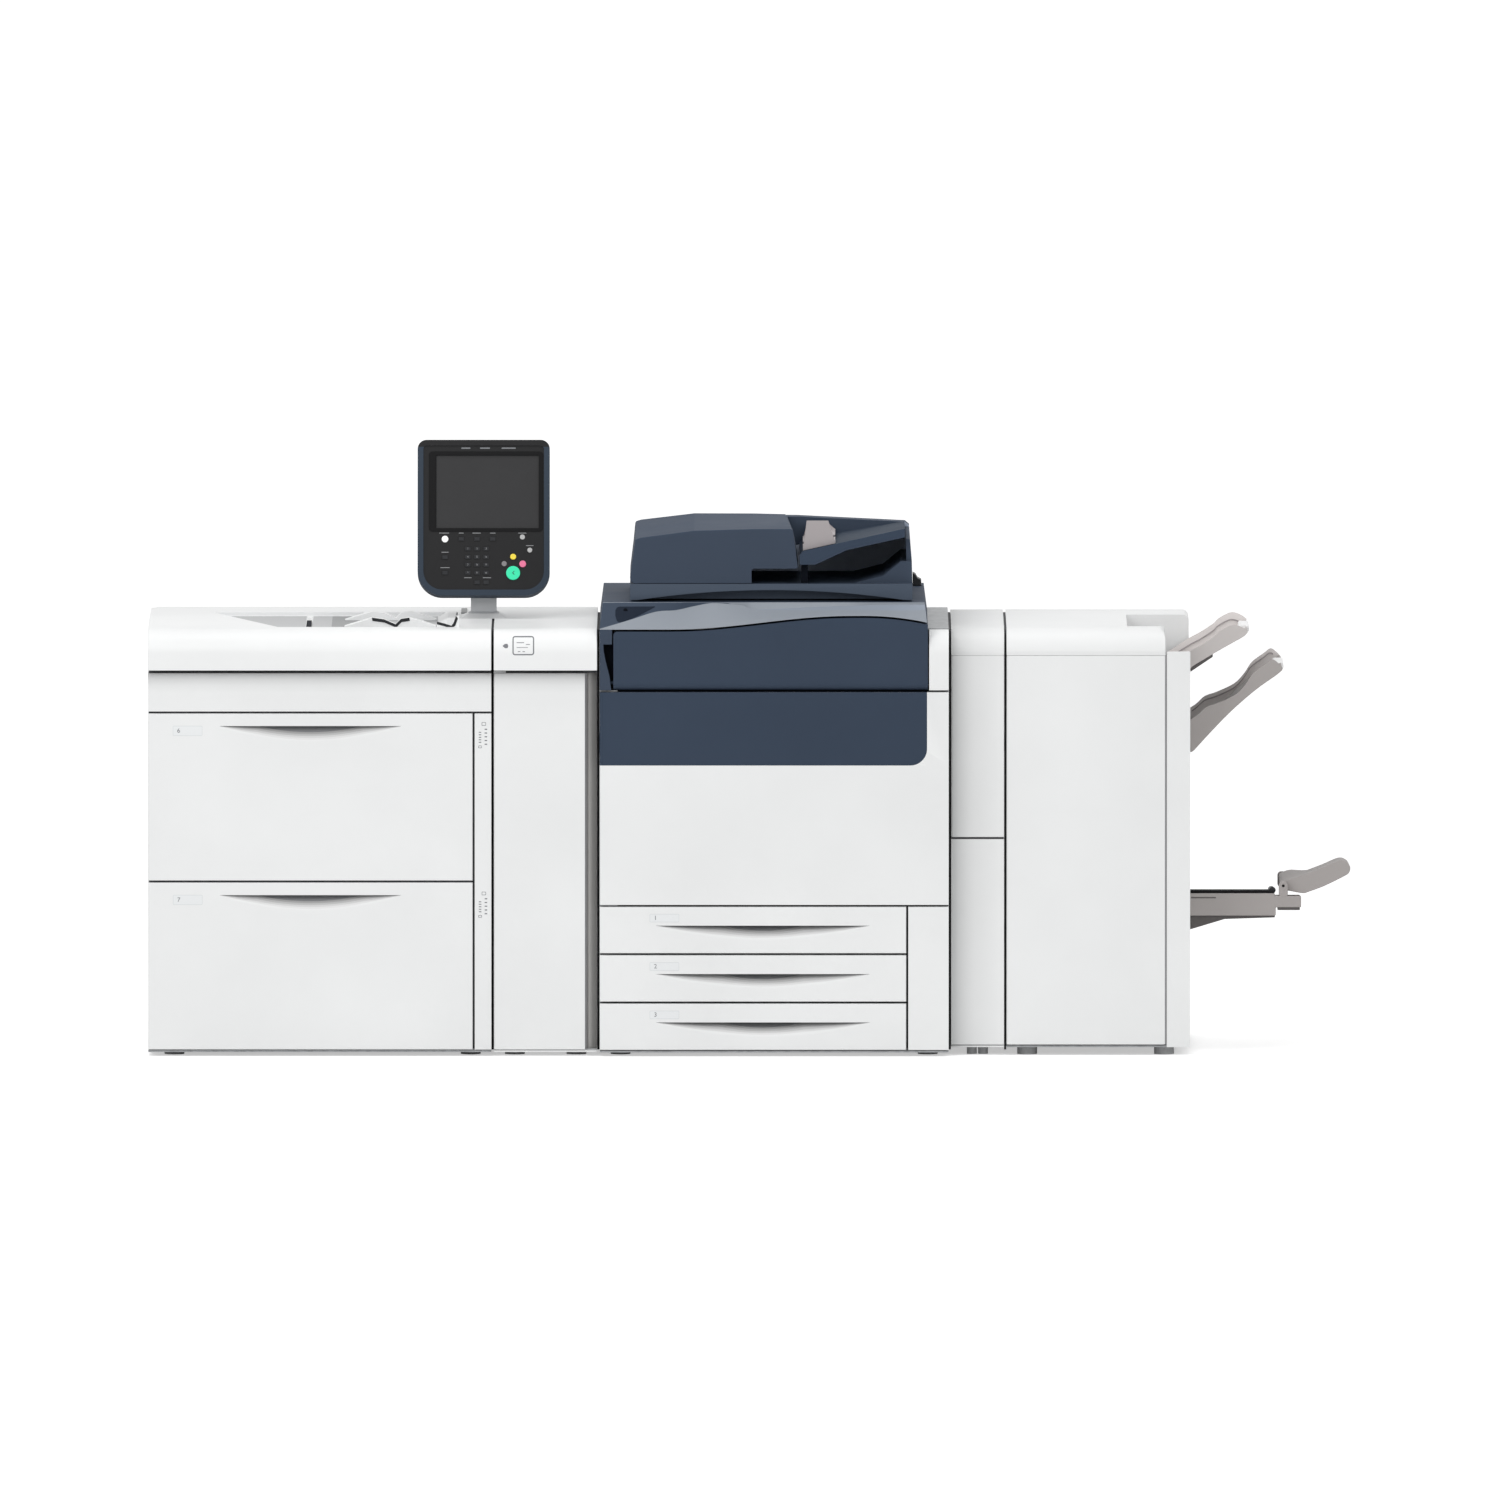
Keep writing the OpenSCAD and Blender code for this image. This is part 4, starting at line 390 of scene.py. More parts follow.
def bar(y0, y1, *corners, steps=5):
    """Rounded bar along Y; the corners are x0, z0, x1, z1 and the radius."""
    return along("y", y0, y1, rounded(*corners, steps))


def smooth_path(points, steps=6, closed=False):
    """Catmull-Rom curve through the points."""
    count = len(points)
    made = []
    for i in range(count if closed else count - 1):
        near = range(i - 1, i + 3)
        p = [points[k % count] if closed else points[min(max(k, 0), count - 1)] for k in near]
        for s in range(steps):
            t = s / steps
            made.append(tuple(0.5 * (2 * b + (c - a) * t + (2 * a - 5 * b + 4 * c - d) * t ** 2
                                     + (3 * b - a - 3 * c + d) * t ** 3) for a, b, c, d in zip(*p)))
    if not closed:
        made.append(tuple(points[-1]))
    return made


def lathe(profile, centre, steps=32):
    """bmesh of (radius, depth) pairs turned about an axis along Y through centre."""
    bm = bmesh.new()
    x, y, z = centre
    turns = [2 * math.pi * i / steps for i in range(steps)]
    return skin(bm, [[vert(bm, x + r * math.cos(a), y + h, z - r * math.sin(a)) for a in turns]
                     for r, h in profile])


def ring_plate(outer, inner, y0, y1):
    """bmesh of the band between two outlines of equal count, standing in X and Z."""
    bm = bmesh.new()
    out_near, out_far, in_near, in_far = (
        [vert(bm, x, y, z) for x, z in outline] for outline in (outer, inner) for y in (y0, y1))
    return skin(bm, [out_near, out_far, in_far, in_near, out_near], ends=False)


def rim_plate(y0, y1, x0, z0, x1, z1, r, band, inner_r):
    """Rounded rectangle's border of one width."""
    return ring_plate(rounded(x0, z0, x1, z1, r),
                      rounded(x0 + band, z0 + band, x1 - band, z1 - band, inner_r), y0, y1)


def slice_at(bm, point, normal, **options):
    """Cuts the faces along a plane through a point in millimetres."""
    return bmesh.ops.bisect_plane(bm, geom=bm.verts[:] + bm.edges[:] + bm.faces[:],
                                  plane_co=Vector(point) * MM, plane_no=normal, **options)


def mesh_of(name, bm):
    """Mesh made from a bmesh, which is then freed."""
    mesh = bpy.data.meshes.new(name)
    bm.to_mesh(mesh)
    bm.free()
    return mesh


def add_object(name, data):
    made = bpy.data.objects.new(name, data)
    bpy.context.scene.collection.objects.link(made)
    return made


def joined(*parts):
    """One bmesh of several."""
    whole = bmesh.new()
    for part in parts:
        mesh = mesh_of("part", part)
        whole.from_mesh(mesh)
        bpy.data.meshes.remove(mesh)
    return whole


def rounded_edges(piece, width, segments=3, angle=32):
    """Bevel modifier that rounds every real edge."""
    bevel = piece.modifiers.new("rounded edges", "BEVEL")
    bevel.width = width * MM
    bevel.segments = segments
    bevel.limit_method = "ANGLE"
    bevel.angle_limit = math.radians(angle)
    bevel.harden_normals = True
    bevel.use_clamp_overlap = True


def body_of_node(node):
    return frame["nodes"][node]["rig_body"]


def dress(name, bm, material, body="root", edge=0.0, slot=None, segments=3, smooth=32, at=None, node=None):
    """Turns a bmesh into a finished piece on a body, or on that of the CAD node which it stands for.

    The slot, given or else that of its first material, is worked out but not set on the piece.
    """
    materials = material if isinstance(material, tuple) else (material,)
    own_name = materials[0].name.split(".")[0]
    slot = slot or SLOT_OF.get(materials[0].name, own_name)
    bmesh.ops.recalc_face_normals(bm, faces=bm.faces)
    mesh = mesh_of(name, bm)
    if at is not None:
        mesh.transform(at)
    mesh.shade_smooth()
    mesh.set_sharp_from_angle(angle=math.radians(smooth))
    for one in materials:
        mesh.materials.append(one)
    piece = add_object(name, mesh)
    if edge:
        rounded_edges(piece, edge, segments)
    if node:
        body = body_of_node(node)
    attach(piece, body)
    if node:
        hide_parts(node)
    return piece


def node_bmesh(node, behind=None):
    """bmesh of a CAD node with its flat faces merged, or of what lies behind a depth."""
    bm = bmesh.new()
    bm.from_mesh(frame["nodes"][node].data)
    bmesh.ops.remove_doubles(bm, verts=bm.verts, dist=1e-6)
    if behind is not None:
        cut = slice_at(bm, (0, behind, 0), (0, 1, 0), clear_inner=True)
        edges = [e for e in cut["geom_cut"] if isinstance(e, bmesh.types.BMEdge)]
        bmesh.ops.triangle_fill(bm, edges=edges, use_beauty=True)
    bmesh.ops.dissolve_limit(bm, angle_limit=math.radians(0.6), verts=bm.verts, edges=bm.edges)
    return bm


def soften(node, material, width, change=None, segments=3):
    """The CAD node with rounded edges, and with a change to its bmesh if one is given, standing for it."""
    bm = node_bmesh(node)
    if change:
        change(bm)
    dress("soft_" + node, bm, material, edge=width, segments=segments, node=node)


def words(name, text, height, place, material, body, slot=None, at=None):
    """Small printed characters standing in X and Z, facing -Y."""
    curve = bpy.data.curves.new(name, "FONT")
    curve.body = text
    curve.size = height * MM
    curve.extrude = 0.00008
    curve.align_x = "CENTER"
    curve.align_y = "CENTER"
    holder = add_object(name + "_curve", curve)
    bpy.context.view_layer.update()
    mesh = bpy.data.meshes.new_from_object(holder.evaluated_get(bpy.context.evaluated_depsgraph_get()))
    bpy.data.objects.remove(holder)
    bm = bmesh.new()
    bm.from_mesh(mesh)
    bmesh.ops.transform(bm, matrix=Matrix.Translation(Vector(place) * MM) @ UPRIGHT, verts=bm.verts)
    dress(name, bm, material, body, slot=slot, at=at)


# Fronts and seams
def handled_front(node, centre, drop, half, sag, deep, pocket_half, pocket_drop):
    """White front with a scooped handle: an arc under a straight edge, and a finger pocket behind it; greys
    paint shade in the pocket and in bands of the dish near the edge.
    """
    (x0, y0, z0), (x1, y1, z1) = (mm(corner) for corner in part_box(node))
    top = z1 - drop
    columns, dish_rows, dark_rows = 57, 11, 2
    hollow, pocket_rise, pocket_depth = 0.75, 7.0, 3.0
    bm = bmesh.new()
    grid, roof = [], []
    for i in range(columns):
        u = -math.cos(math.pi * i / (columns - 1))
        x, height = centre + half * u, sag * (1 - u * u)
        if abs(u) > 0.9999:
            corner = vert(bm, x, y0, top)
            grid.append([corner] * (dark_rows + dish_rows + 1))
            roof.append([corner] * 3)
            continue
        inward = deep * (1 - u * u) ** hollow
        pocket = max(0.0, 1 - ((x - centre) / pocket_half) ** 2)
        dark = min(0.6 * height, 0.5 + pocket_drop * pocket)
        downs = [dark * row / dark_rows for row in range(dark_rows + 1)]
        downs += [dark + (height - dark) * row / dish_rows for row in range(1, dish_rows + 1)]
        grid.append([vert(bm, x, y0 + inward * (1 - down / height) ** 2, top - down) for down in downs])
        back = y0 + min(pocket_depth, 0.5 * inward)
        spots = ((y0, top), (back, top), (back, top + pocket_rise * pocket + 0.01))
        roof.append([vert(bm, x, y, z) for y, z in spots])
    for a, b, p, q in zip(grid, grid[1:], roof, roof[1:]):
        for k in range(len(a) - 1):
            below = k - dark_rows
            # Pocket rows take a grey of painted shade, the next dish rows lighter bands of painted shade
            tone = 1 if below < 0 else 2 + below // 2 if below < 8 else 0
            patch(bm, (a[k], b[k], b[k + 1], a[k + 1]), tone)
        patch(bm, (p[0], q[0], q[1], p[1]))
        patch(bm, (p[1], q[1], q[2], p[2]), 1)
        patch(bm, (p[2], q[2], b[0], a[0]), 1)
    left, right = ([vert(bm, x, y0, z) for z in (z1, top, z0)] for x in (x0, x1))
    back = [vert(bm, x, y1, z) for x, z in ((x0, z0), (x1, z0), (x1, z1), (x0, z1))]
    bm.faces.new((left[0], right[0], right[1], *[row[0] for row in reversed(roof)], left[1]))
    bm.faces.new((left[1], *[column[-1] for column in grid], right[1], right[2], left[2]))
    bm.faces.new(back)
    sides = [bm.faces.new(corners) for corners in (
        (left[2], right[2], back[1], back[0]), (left[0], right[0], back[2], back[3]),
        (*reversed(left), back[3], back[0]), (*reversed(right), back[2], back[1]))]
    bmesh.ops.recalc_face_normals(bm, faces=bm.faces)
    rim = [e for side in sides for e in side.edges if all(abs(v.co.y - y0 * MM) < 1e-6 for v in e.verts)]
    bmesh.ops.bevel(bm, geom=rim, offset=DOOR_EDGE * MM, segments=3, profile=0.5, affect="EDGES",
                    clamp_overlap=False)
    piece = dress("front_" + node, bm, (WHITE, GRIP_PAINTED_SHADE, *DISH_PAINTED_SHADES), smooth=40, node=node)
    weigh = piece.modifiers.new("flat faces", "WEIGHTED_NORMAL")
    weigh.keep_sharp = True


def seam_shadow_strips():
    """Dark and grey strips in the seams between the covers, on the front edges of the frames: painted shadow.
    """
    fronts, (feeder, feeder_end), engine = (-362.0, BACK_OF_FRONTS + 1), FEEDER_X, ENGINE_X[0] + 1
    for tone, depth, strips in (
            (SEAM_PAINTED_SHADOW, fronts, (
                ("feeder_low", feeder, 418.6, -662, 422.4), ("feeder_mid", feeder, 825.6, feeder_end, 829.4),
                ("feeder_top", feeder, 922.6, -616, 929.4), ("feeder_side", -665.4, 18, -661.6, 825),
                ("interface_top", -621, 922.6, -368, 929.4), ("tray_low", engine, 128, 375, 132),
                ("tray_mid", engine, 244.4, 375, 248.6), ("tray_top", engine, 360.8, 476, 365.2),
                ("tray_side", 375.5, 18, 379.5, 360))),
            (DARK_AND_SLOT_SHADOW, fronts, (("door_top", engine, 877.6, 476, 881.6),)),
            (SOFT_SEAM_SHADOW_AND_LINE, fronts, (("interface_side", -395.6, 18, -391.4, 922),)),
            (RECESS_GREY, fronts, (
                ("base_feeder", feeder, 14, feeder_end, 17.4), ("base_interface", -614, 14, -368, 17.4),
                ("base_engine", engine, 14, 476, 17.4))),
            (SEAM_PAINTED_SHADOW, (-347, -337), (("transport_mid", 484, 521.4, 609, 525.6),)),
            (SOFT_SEAM_SHADOW_AND_LINE, (-348.5, -335), (("finisher_side", 997.3, 26, 1000.7, 963),))):
        for name, *corners in strips:
            dress("seam_" + name, bar(*depth, *corners, 0.8, steps=2), tone)
    # Dark strips of painted shadow in the gaps between the five cabinets: one upright, one along the top
    half = 2.7
    for name, x in (("feeder", -618.0), ("interface", -364.0), ("engine", 480.0), ("transport", 613.0)):
        upright = bar(-320, -310, x - half, 12, x + half, 1022, 1.0, steps=2)
        level = bar(-312, 280, x - half, 1016, x + half, 1023, 1.0, steps=2)
        dress("gap_shadow_" + name, joined(upright, level), SEAM_PAINTED_SHADOW)
    # Lips that close the gap between a rounded top and the door under it
    for name, x0, x1, tone in (
            ("transport", 483.5, 609.5, WHITE_PAINTED_SIDE_SHADE), ("finisher", *FINISHER_X[:2], WHITE)):
        lip = bar(FINISHER_Y + 0.3, FINISHER_Y + 18, x0, 963.5, x1, 968.2, 0.8, steps=2)
        dress(name + "_lip", lip, tone, edge=0.4)
    # Strip with painted shade in the recess at the right of the interface door
    dress("filler_strip_painted_shade", bar(-349.0, -345.0, -390.5, 18, -367.5, 921, 1.0, steps=2), FILLER_PAINTED_SHADE, edge=0.5)


def split_door():
    """Front door: white below, with the dark inlay carried round its left edge."""
    low, high, left, right = 701, 876.5, -354.5, 424.5
    bm = node_bmesh("front_door")
    slice_at(bm, (0, 0, low), (0, 0, 1))
    slice_at(bm, (left, 0, 0), (1, 0, 0))
    slice_at(bm, (right, 0, 0), (1, 0, 0))
    for face in bm.faces:
        x, y, z = mm(face.calc_center_median())
        if z > low and (x < left or (z > high and x < right)):
            face.material_index = 1
    dress("soft_front_door", bm, (WHITE, DARK), edge=DOOR_EDGE, node="front_door")


# Camera, floor and light
def make_camera():
    """Long-lens camera in front of the object, a little above level."""
    camera = add_object("camera", bpy.data.cameras.new("camera"))
    camera.data.lens = LENS
    camera.data.sensor_width = SENSOR
    camera.data.clip_start, camera.data.clip_end = 1.0, 400.0
    e = math.radians(CAMERA_ELEVATION)
    camera.location = Vector(CAMERA_AIM) * MM + CAMERA_DISTANCE * Vector((0, -math.cos(e), math.sin(e)))
    camera.rotation_euler = (math.radians(90) - e, 0, 0)
    bpy.context.scene.camera = camera


def make_floor():
    """Pale floor that keeps the object's shadow and looks white to the camera elsewhere."""
    bm = bmesh.new()
    signs = ((-1, -1), (1, -1), (1, 1), (-1, 1))
    bm.faces.new([bm.verts.new((x * FLOOR_HALF, y * FLOOR_HALF, 0)) for x, y in signs])
    floor = add_object("floor", mesh_of("floor", bm))
    f = Finish("floor_pale")
    f.colour((0.9, 0.9, 0.9), (0.92, 0.92, 0.92), f.noise(1.5))
    f.set(Roughness=0.9, Specular_IOR_Level=0.1, Emission_Color=(1, 1, 1, 1))
    seen = f.node("LightPath").outputs["Is Camera Ray"]
    glow = f.node("Math", [(0, seen)], operation="MULTIPLY")
    glow.inputs[1].default_value = FLOOR_GLOW
    f.drive("Emission Strength", glow.outputs["Value"])
    floor.data.materials.append(f.material)


def make_world():
    """Even light, seen as white by the camera and in gloss and glass."""
    world = bpy.data.worlds.new("studio")
    bpy.context.scene.world = world
    world.use_nodes = True
    tree = world.node_tree
    tree.nodes.clear()
    paths = add_node(tree, "LightPath").outputs
    seen = paths["Is Camera Ray"]
    for ray in ("Is Glossy Ray", "Is Transmission Ray"):
        seen = add_node(tree, "Math", [(0, seen), (1, paths[ray])], operation="MAXIMUM").outputs[0]
    even, white = (add_node(tree, "Background", Color=(1, 1, 1, 1), Strength=strength).outputs[0]
                   for strength in (WORLD_LIGHT, 1.0))
    mix = add_node(tree, "MixShader", [("Fac", seen), (1, even), (2, white)])
    add_node(tree, "OutputWorld", [("Surface", mix.outputs[0])])


def make_lights():
    """Key, fill and overhead lamps, placed and sized in metres."""
    for name, place, aim, size, watts in (
            ("key", (-2.6, -4.2, 3.2), (0, -0.2, 0.6), (2.6, 2.0), 64),
            ("fill", (3.4, -4.6, 2.2), (0.2, -0.2, 0.6), (2.4, 2.4), 35),
            ("overhead", (0.0, -0.6, 3.4), (0, 0.0, 0.9), (4.2, 0.9), 28)):
        data = bpy.data.lights.new(name, "AREA")
        data.shape = "RECTANGLE"
        data.size, data.size_y = size
        data.energy = watts
        lamp = add_object(name, data)
        lamp.location = place
        lamp.rotation_euler = (Vector(aim) - Vector(place)).to_track_quat("-Z", "Y").to_euler()


# Scanner
# Upper edge of the toner cover: the share of its width where it starts to rise, the share that it rises
# over, the share where it starts to fall, and the share of the rise that it falls by
WAVE_SHARES = (0.18, 0.58, 0.8, 0.5)
WAVE_RISE = 33.0


def wave(x):
    """Height of the toner cover's upper edge at x."""
    start, run, fall, depth = WAVE_SHARES
    t = (x - TONER_X[0]) / (TONER_X[1] - TONER_X[0])
    up, down = share(t, start, start + run), share(t, fall, 1)
    return TONER_TOP + WAVE_RISE * ((1 - math.cos(math.pi * up)) / 2 - depth * down ** 2)


def between(a, b, t):
    return tuple(p + (q - p) * t for p, q in zip(a, b))


def track(x, points):
    """Value at x on straight lines through (x, value) points."""
    return float(np.interp(x, *zip(*points)))


# Shares of the shoulder's height where the ledge of painted highlight ends and where the steep wall above it
# ends, along x
LEDGE_SHARES = smooth_path(((-361, 0.03), (-290, 0.34), (-226, 0.64), (-176, 0.7), (-130, 0.86), (-85, 0.97),
                            (-20, 0.85), (25, 0.62), (200, 0.44), (330, 0.42), (427, 0.62)), 10)
WALL_SHARES = smooth_path(((-361, 0.985), (-85, 0.985), (-40, 0.9), (25, 0.64), (200, 0.68), (330, 0.8),
                           (427, 0.88)), 10)


def shoulder_row(x):
    """Front of the scanner housing at x, from the wave's edge up to the platen, as (y, z) pairs."""
    low, top = (ENGINE_Y, wave(x) + SEAM), (PLATEN_Y, PLATEN_Z)
    hollow = 1.34

    def point(part, push):
        """Point at a share of the height, pushed back from the straight slope."""
        return low[0] + (top[0] - low[0]) * min(0.995, part * push), low[1] + (top[1] - low[1]) * part

    wall_part = track(x, WALL_SHARES)
    ledge, wall = point(track(x, LEDGE_SHARES), hollow), point(wall_part, hollow if wall_part < 0.9 else 1.0)
    wall = (max(wall[0], ledge[0] + 0.4), wall[1])
    ledge = (min(ledge[0], wall[0] - 0.2), ledge[1])
    row = [low, (low[0] + 1.5, low[1] + 1.2)]
    for end in (ledge, wall, top):
        row += [between(row[-1], end, t) for t in (0.33, 0.66, 1.0)]
    return row


def lean_end(x, z):
    """The scanner's ends lean in above the deck, to the full lean at the lid's foot."""
    lean, full_z = 11, 1112
    return x + lean * share(z, DECK_Z, full_z) * (share(-x, 345, 361) - share(x, 411, 427))


def on_wall(x, z, out):
    """Place in front of the shoulder at x and z."""
    row = shoulder_row(x)
    for (ya, za), (yb, zb) in zip(row, row[1:]):
        if za <= z <= zb:
            return lean_end(x, z), ya + (yb - ya) * (z - za) / max(0.01, zb - za) - out, z + 0.5 * out
    return x, row[-1][0] - out, z


def grip_leaf():
    """Dark leaf-shaped patch on the shoulder's wall at the left, painted shadow of a grip pocket; blunt at
    its left end and pointed at its right.
    """
    spans, left, length, low_z, high_z = 26, -323, 95, 1043.0, 1079.0
    bm = bmesh.new()
    rows = []
    for i in range(spans + 1):
        t = i / spans
        blunt = math.sqrt(max(0.0, 1 - (1 - min(1.0, t / 0.12)) ** 2))
        high = high_z - 8.0 * (1 - blunt)
        low = min(high - 0.6, low_z + 35.4 * t ** 1.5 + 16.0 * (1 - blunt))
        spots = ((low, -1), (low, 0.9), ((low + high) / 2, 0.9), (high, 0.9), (high, -1))
        rows.append([vert(bm, *on_wall(left + length * t, z, out)) for z, out in spots])
    dress("grip_leaf", skin(bm, rows), GRIP_LEAF_PAINTED_SHADOW, smooth=50)


def scanner():
    """Scanner housing: the CAD body, a sculpted shoulder with a light ledge of painted highlight, and a sunk
    strip in front.
    """
    cut_y, steps, wall_highlight_from = PLATEN_Y + 2, 90, 0.42
    bm = node_bmesh("scanner_housing", behind=cut_y)
    for v in bm.verts:
        v.co.x = lean_end(v.co.x / MM, v.co.z / MM) * MM
    dress("scanner_body", bm, DARK_LIFT, edge=2.0, node="scanner_housing")

    def tone(k, i):
        """Along a column 1 is the lip, 2 to 4 are the ledge, 5 to 7 the wall and 8 to 10 the slope; these
        take a painted highlight, the wall only right of a share of the width.
        """
        if 5 <= i < 8:
            return 2 if k > steps * wall_highlight_from else 0
        return 1 if 1 <= i < 11 else 0

    bm = bmesh.new()
    columns = []
    for i in range(steps + 1):
        x = SCANNER_X[0] + (SCANNER_X[1] - SCANNER_X[0]) * i / steps
        low = wave(x) + SEAM
        ring = [(BACK_OF_FRONTS, low), *shoulder_row(x), (cut_y, PLATEN_Z), (cut_y, DECK_Z + 1),
                (BACK_OF_FRONTS, max(low, DECK_Z + 1) + 0.01)]
        columns.append([vert(bm, lean_end(x, z), y, z) for y, z in ring])
    shoulder = dress("scanner_shoulder", skin(bm, columns, tone), (DARK_LIFT, LEDGE_PAINTED_HIGHLIGHT, WALL_PAINTED_HIGHLIGHT), smooth=28)
    rounded_edges(shoulder, 1.2, 2, 50)
    grip_leaf()
    button = lathe([(3.5, 0), (5.2, 1.2), (5.2, 3.4), (3.8, 4.4)], on_wall(-299.0, 1070.0, 2.0), 24)
    dress("grip_button", button, DARK_AND_SLOT_SHADOW, slot="dark_shell", smooth=50)
    cap = [(392, 1089), (392, 1121), (399, 1117), (404, 1108), (413, 1104), (413, 1089)]
    dress("lid_hinge_cap", along("y", 236, 292, cap), BLACK, edge=2.0)
    # Strip left of the toner cover, with the finger notch that opens it
    x0, x1, top = SCANNER_X[0], SCANNER_X[0] + 30, TONER_TOP + SEAM
    outline = [(x0, 882), (x1 - 2, 882), (x1 - 6, 915), (x1 - 15, 950), (x0 + 10, 975), (x0 + 9, 992),
               (x1, 992), (x1, top), (x0, top)]
    dress("toner_strip", along("y", ENGINE_Y, BACK_OF_FRONTS, outline), DARK_LIFT, edge=1.5)
    # Dark bar behind the notch: painted shade inside it
    notch_shadow = bar(BACK_OF_FRONTS - 10, BACK_OF_FRONTS, x0 + 2, 884, x1 + 1, 1020, 2)
    dress("toner_notch_shadow", notch_shadow, DARK_AND_SLOT_SHADOW)


# Prints and the control panel
def drawer_labels():
    """Number labels of the drawers and trays, and the level marks of the status strip."""
    drawers = (("upper_drawer", "6", 783.6), ("lower_drawer", "7", 376.6))
    trays = (("tray_1", "1", 333.8), ("tray_2", "2", 217.3), ("tray_3", "3", 100.8))
    for x, y, h, rows in ((-1385.5, PANEL_Y, 24, drawers), (-241.0, ENGINE_Y, 20, trays)):
        for body, number, z in rows:
            low, high, name = z - h / 2, z + h / 2, body + "_label"
            border = rim_plate(y - 0.35, y + 0.4, x, low, x + 71, high, 2.5, 1.2, 1.6)
            dress(name + "_frame", border, PALE_INK, body)
            film = bar(y - 0.15, y + 0.3, x + 1.2, low + 1.2, x + 69.8, high - 1.2, 1.6)
            dress(name + "_film", film, LABEL, body)
            words(name + "_digit", number, 15, (x + 14, y - 0.3, z), INK, body)
    for z in (776.0, 368.0):
        status_marks(z)


def status_marks(z):
    """Column of small level marks: bars of a rising stack beside its outline."""
    x, depth = -641.0, (PANEL_Y - 0.3, PANEL_Y + 0.2)
    parts = [bar(*depth, x + 4, z + 10 - i * 9, x + 10, z + 12.5 - i * 9, 0.6) for i in range(5)]
    parts += [bar(*depth, x - 10, z + 3 - i * 6, x - 4, z + 5 - i * 6, 0.6) for i in range(5)]
    parts += [rim_plate(*depth, x - 11, z - 34, x - 3, z - 28, 1.2, 1, 0.8),
              rim_plate(*depth, x - 3, z + 20, x + 7, z + 28, 1.2, 1, 0.8)]
    dress(f"status_marks_{int(z)}", joined(*parts), INK)


def bezel_icon():
    """Generic open-cover icon and a small mark, printed round the interface bezel's nose."""
    depth, nose_r = (FRONT_Y - 0.3, FRONT_Y + 0.6), 58.0
    parts = [rim_plate(*depth, -570, 967, -518, 1012, 6, 2.8, 3.4)]
    for corners in ((-560, 996, -542, 997.6), (-538, 992, -528, 993.4), (-560, 985, -533, 986.2),
                    (-557, 975, -551, 976.5), (-546, 975, -540, 976.5)):
        parts.append(bar(*depth, *corners, 0.5))
    mark = [(-594, 989), (-588, 994), (-582, 994), (-580, 989), (-582, 984), (-588, 984)]
    bm = joined(*parts, along("y", *depth, mark))
    long_edges = [e for e in bm.edges if e.calc_length() > 0.008]
    bmesh.ops.subdivide_edges(bm, edges=long_edges, cuts=6, use_grid_fill=True)
    for v in bm.verts:
        up = max(0.0, v.co.z / MM - (DECK_Z - nose_r))
        v.co.y += (nose_r - math.sqrt(max(0.0, nose_r * nose_r - up * up))) * MM
    dress("cover_icon", bm, INK, slot="white_shell")


def on_panel():
    """Matrix from the control panel's upright frame (metres) to its place."""
    return Matrix.Translation(Vector(PANEL_PIVOT) * MM) @ Matrix.Rotation(math.radians(-PANEL_LEAN), 4, "X")


def control_panel():
    """Housing, face, screen, keys and prints; places on the face are measured from the tilt pin."""
    place, face, body = on_panel(), PANEL_FACE, "control_panel"
    soften("panel_housing", (RIM, PANEL_BLACK), 5.0, blacken_top, 4)
    soften("panel_face", PANEL_BLACK, 0.5, segments=2)
    # Raised frame round the screen
    outer, inner = rounded(-132, 75, 143, 270, 9), rounded(-115, 83.5, 133, 260.5, 3)
    surround = ring_plate(outer, inner, face - 1.2, face + 0.5)
    dress("screen_frame", surround, FRAME_BLACK, body, 0.6, at=place)
    soften("touch_screen", SCREEN, 0.5, segments=2)
    # Printed bars over the screen and the keys, each with its middle and its width
    for name, tone, half, marks in (
            ("panel_lamps", INK, 1.6, ((-43, 278, 22), (3, 278, 24), (60, 278, 34))),
            ("panel_legends", LIGHT_INK, 0.8, (
                (-95, 71.5, 24), (-54, 71.5, 12), (-17, 71.5, 20), (22, 71.5, 13), (93, 71.5, 20),
                (-93, 25, 17), (-93, -12.5, 22), (-38, -37, 18), (8, -37, 20), (111, 41, 18)))):
        parts = [bar(face - 0.35, face + 0.1, x - w / 2, z - half, x + w / 2, z + half, 0.75 * half)
                 for x, z, w in marks]
        dress(name, joined(*parts), tone, body, slot="panel_black", at=place)
    for column, (x, digits) in enumerate(((-38, "147*"), (-16, "2580"), (6, "369#"))):
        for row, (z, digit) in enumerate(zip((33.5, 13.5, -5.5, -25), digits)):
            spot = (x, face - 1.75, z)
            words(f"key_digit_{column}_{row}", digit, 6.5, spot, LIGHT_INK, body, "key_rubber", place)
    # The home and start keys glow: painted light
    for key, material in (("home", KEY_WHITE_PAINTED_GLOW), ("interrupt", KEY_DIM), ("clear", KEY_YELLOW),
                          ("stop", KEY_PINK), ("start", GREEN_PAINTED_GLOW), ("power", KEY_GREY)):
        soften(key + "_button", material, 1.2, segments=4)
    soften("panel_stand", (STAND, COVER_WHITE), 3.5, flare_stand)
    lamp = lathe([(2, 2.0), (5.2, 1.6), (6.0, 0.4), (6.0, -0.5)], (93.2, face, 62), 28)
    dress("saver_lamp", lamp, KEY_GREY, body, smooth=50, at=place)
    mark = [(68.5, -25.5), (73.5, -20.5), (74.6, -21.6), (70.7, -25.5), (74.6, -29.4), (73.5, -30.5)]
    mark = along("y", face - 3.25, face - 2.8, mark)
    dress("start_mark", mark, BLACK, "start_key", slot="key_green", at=place)


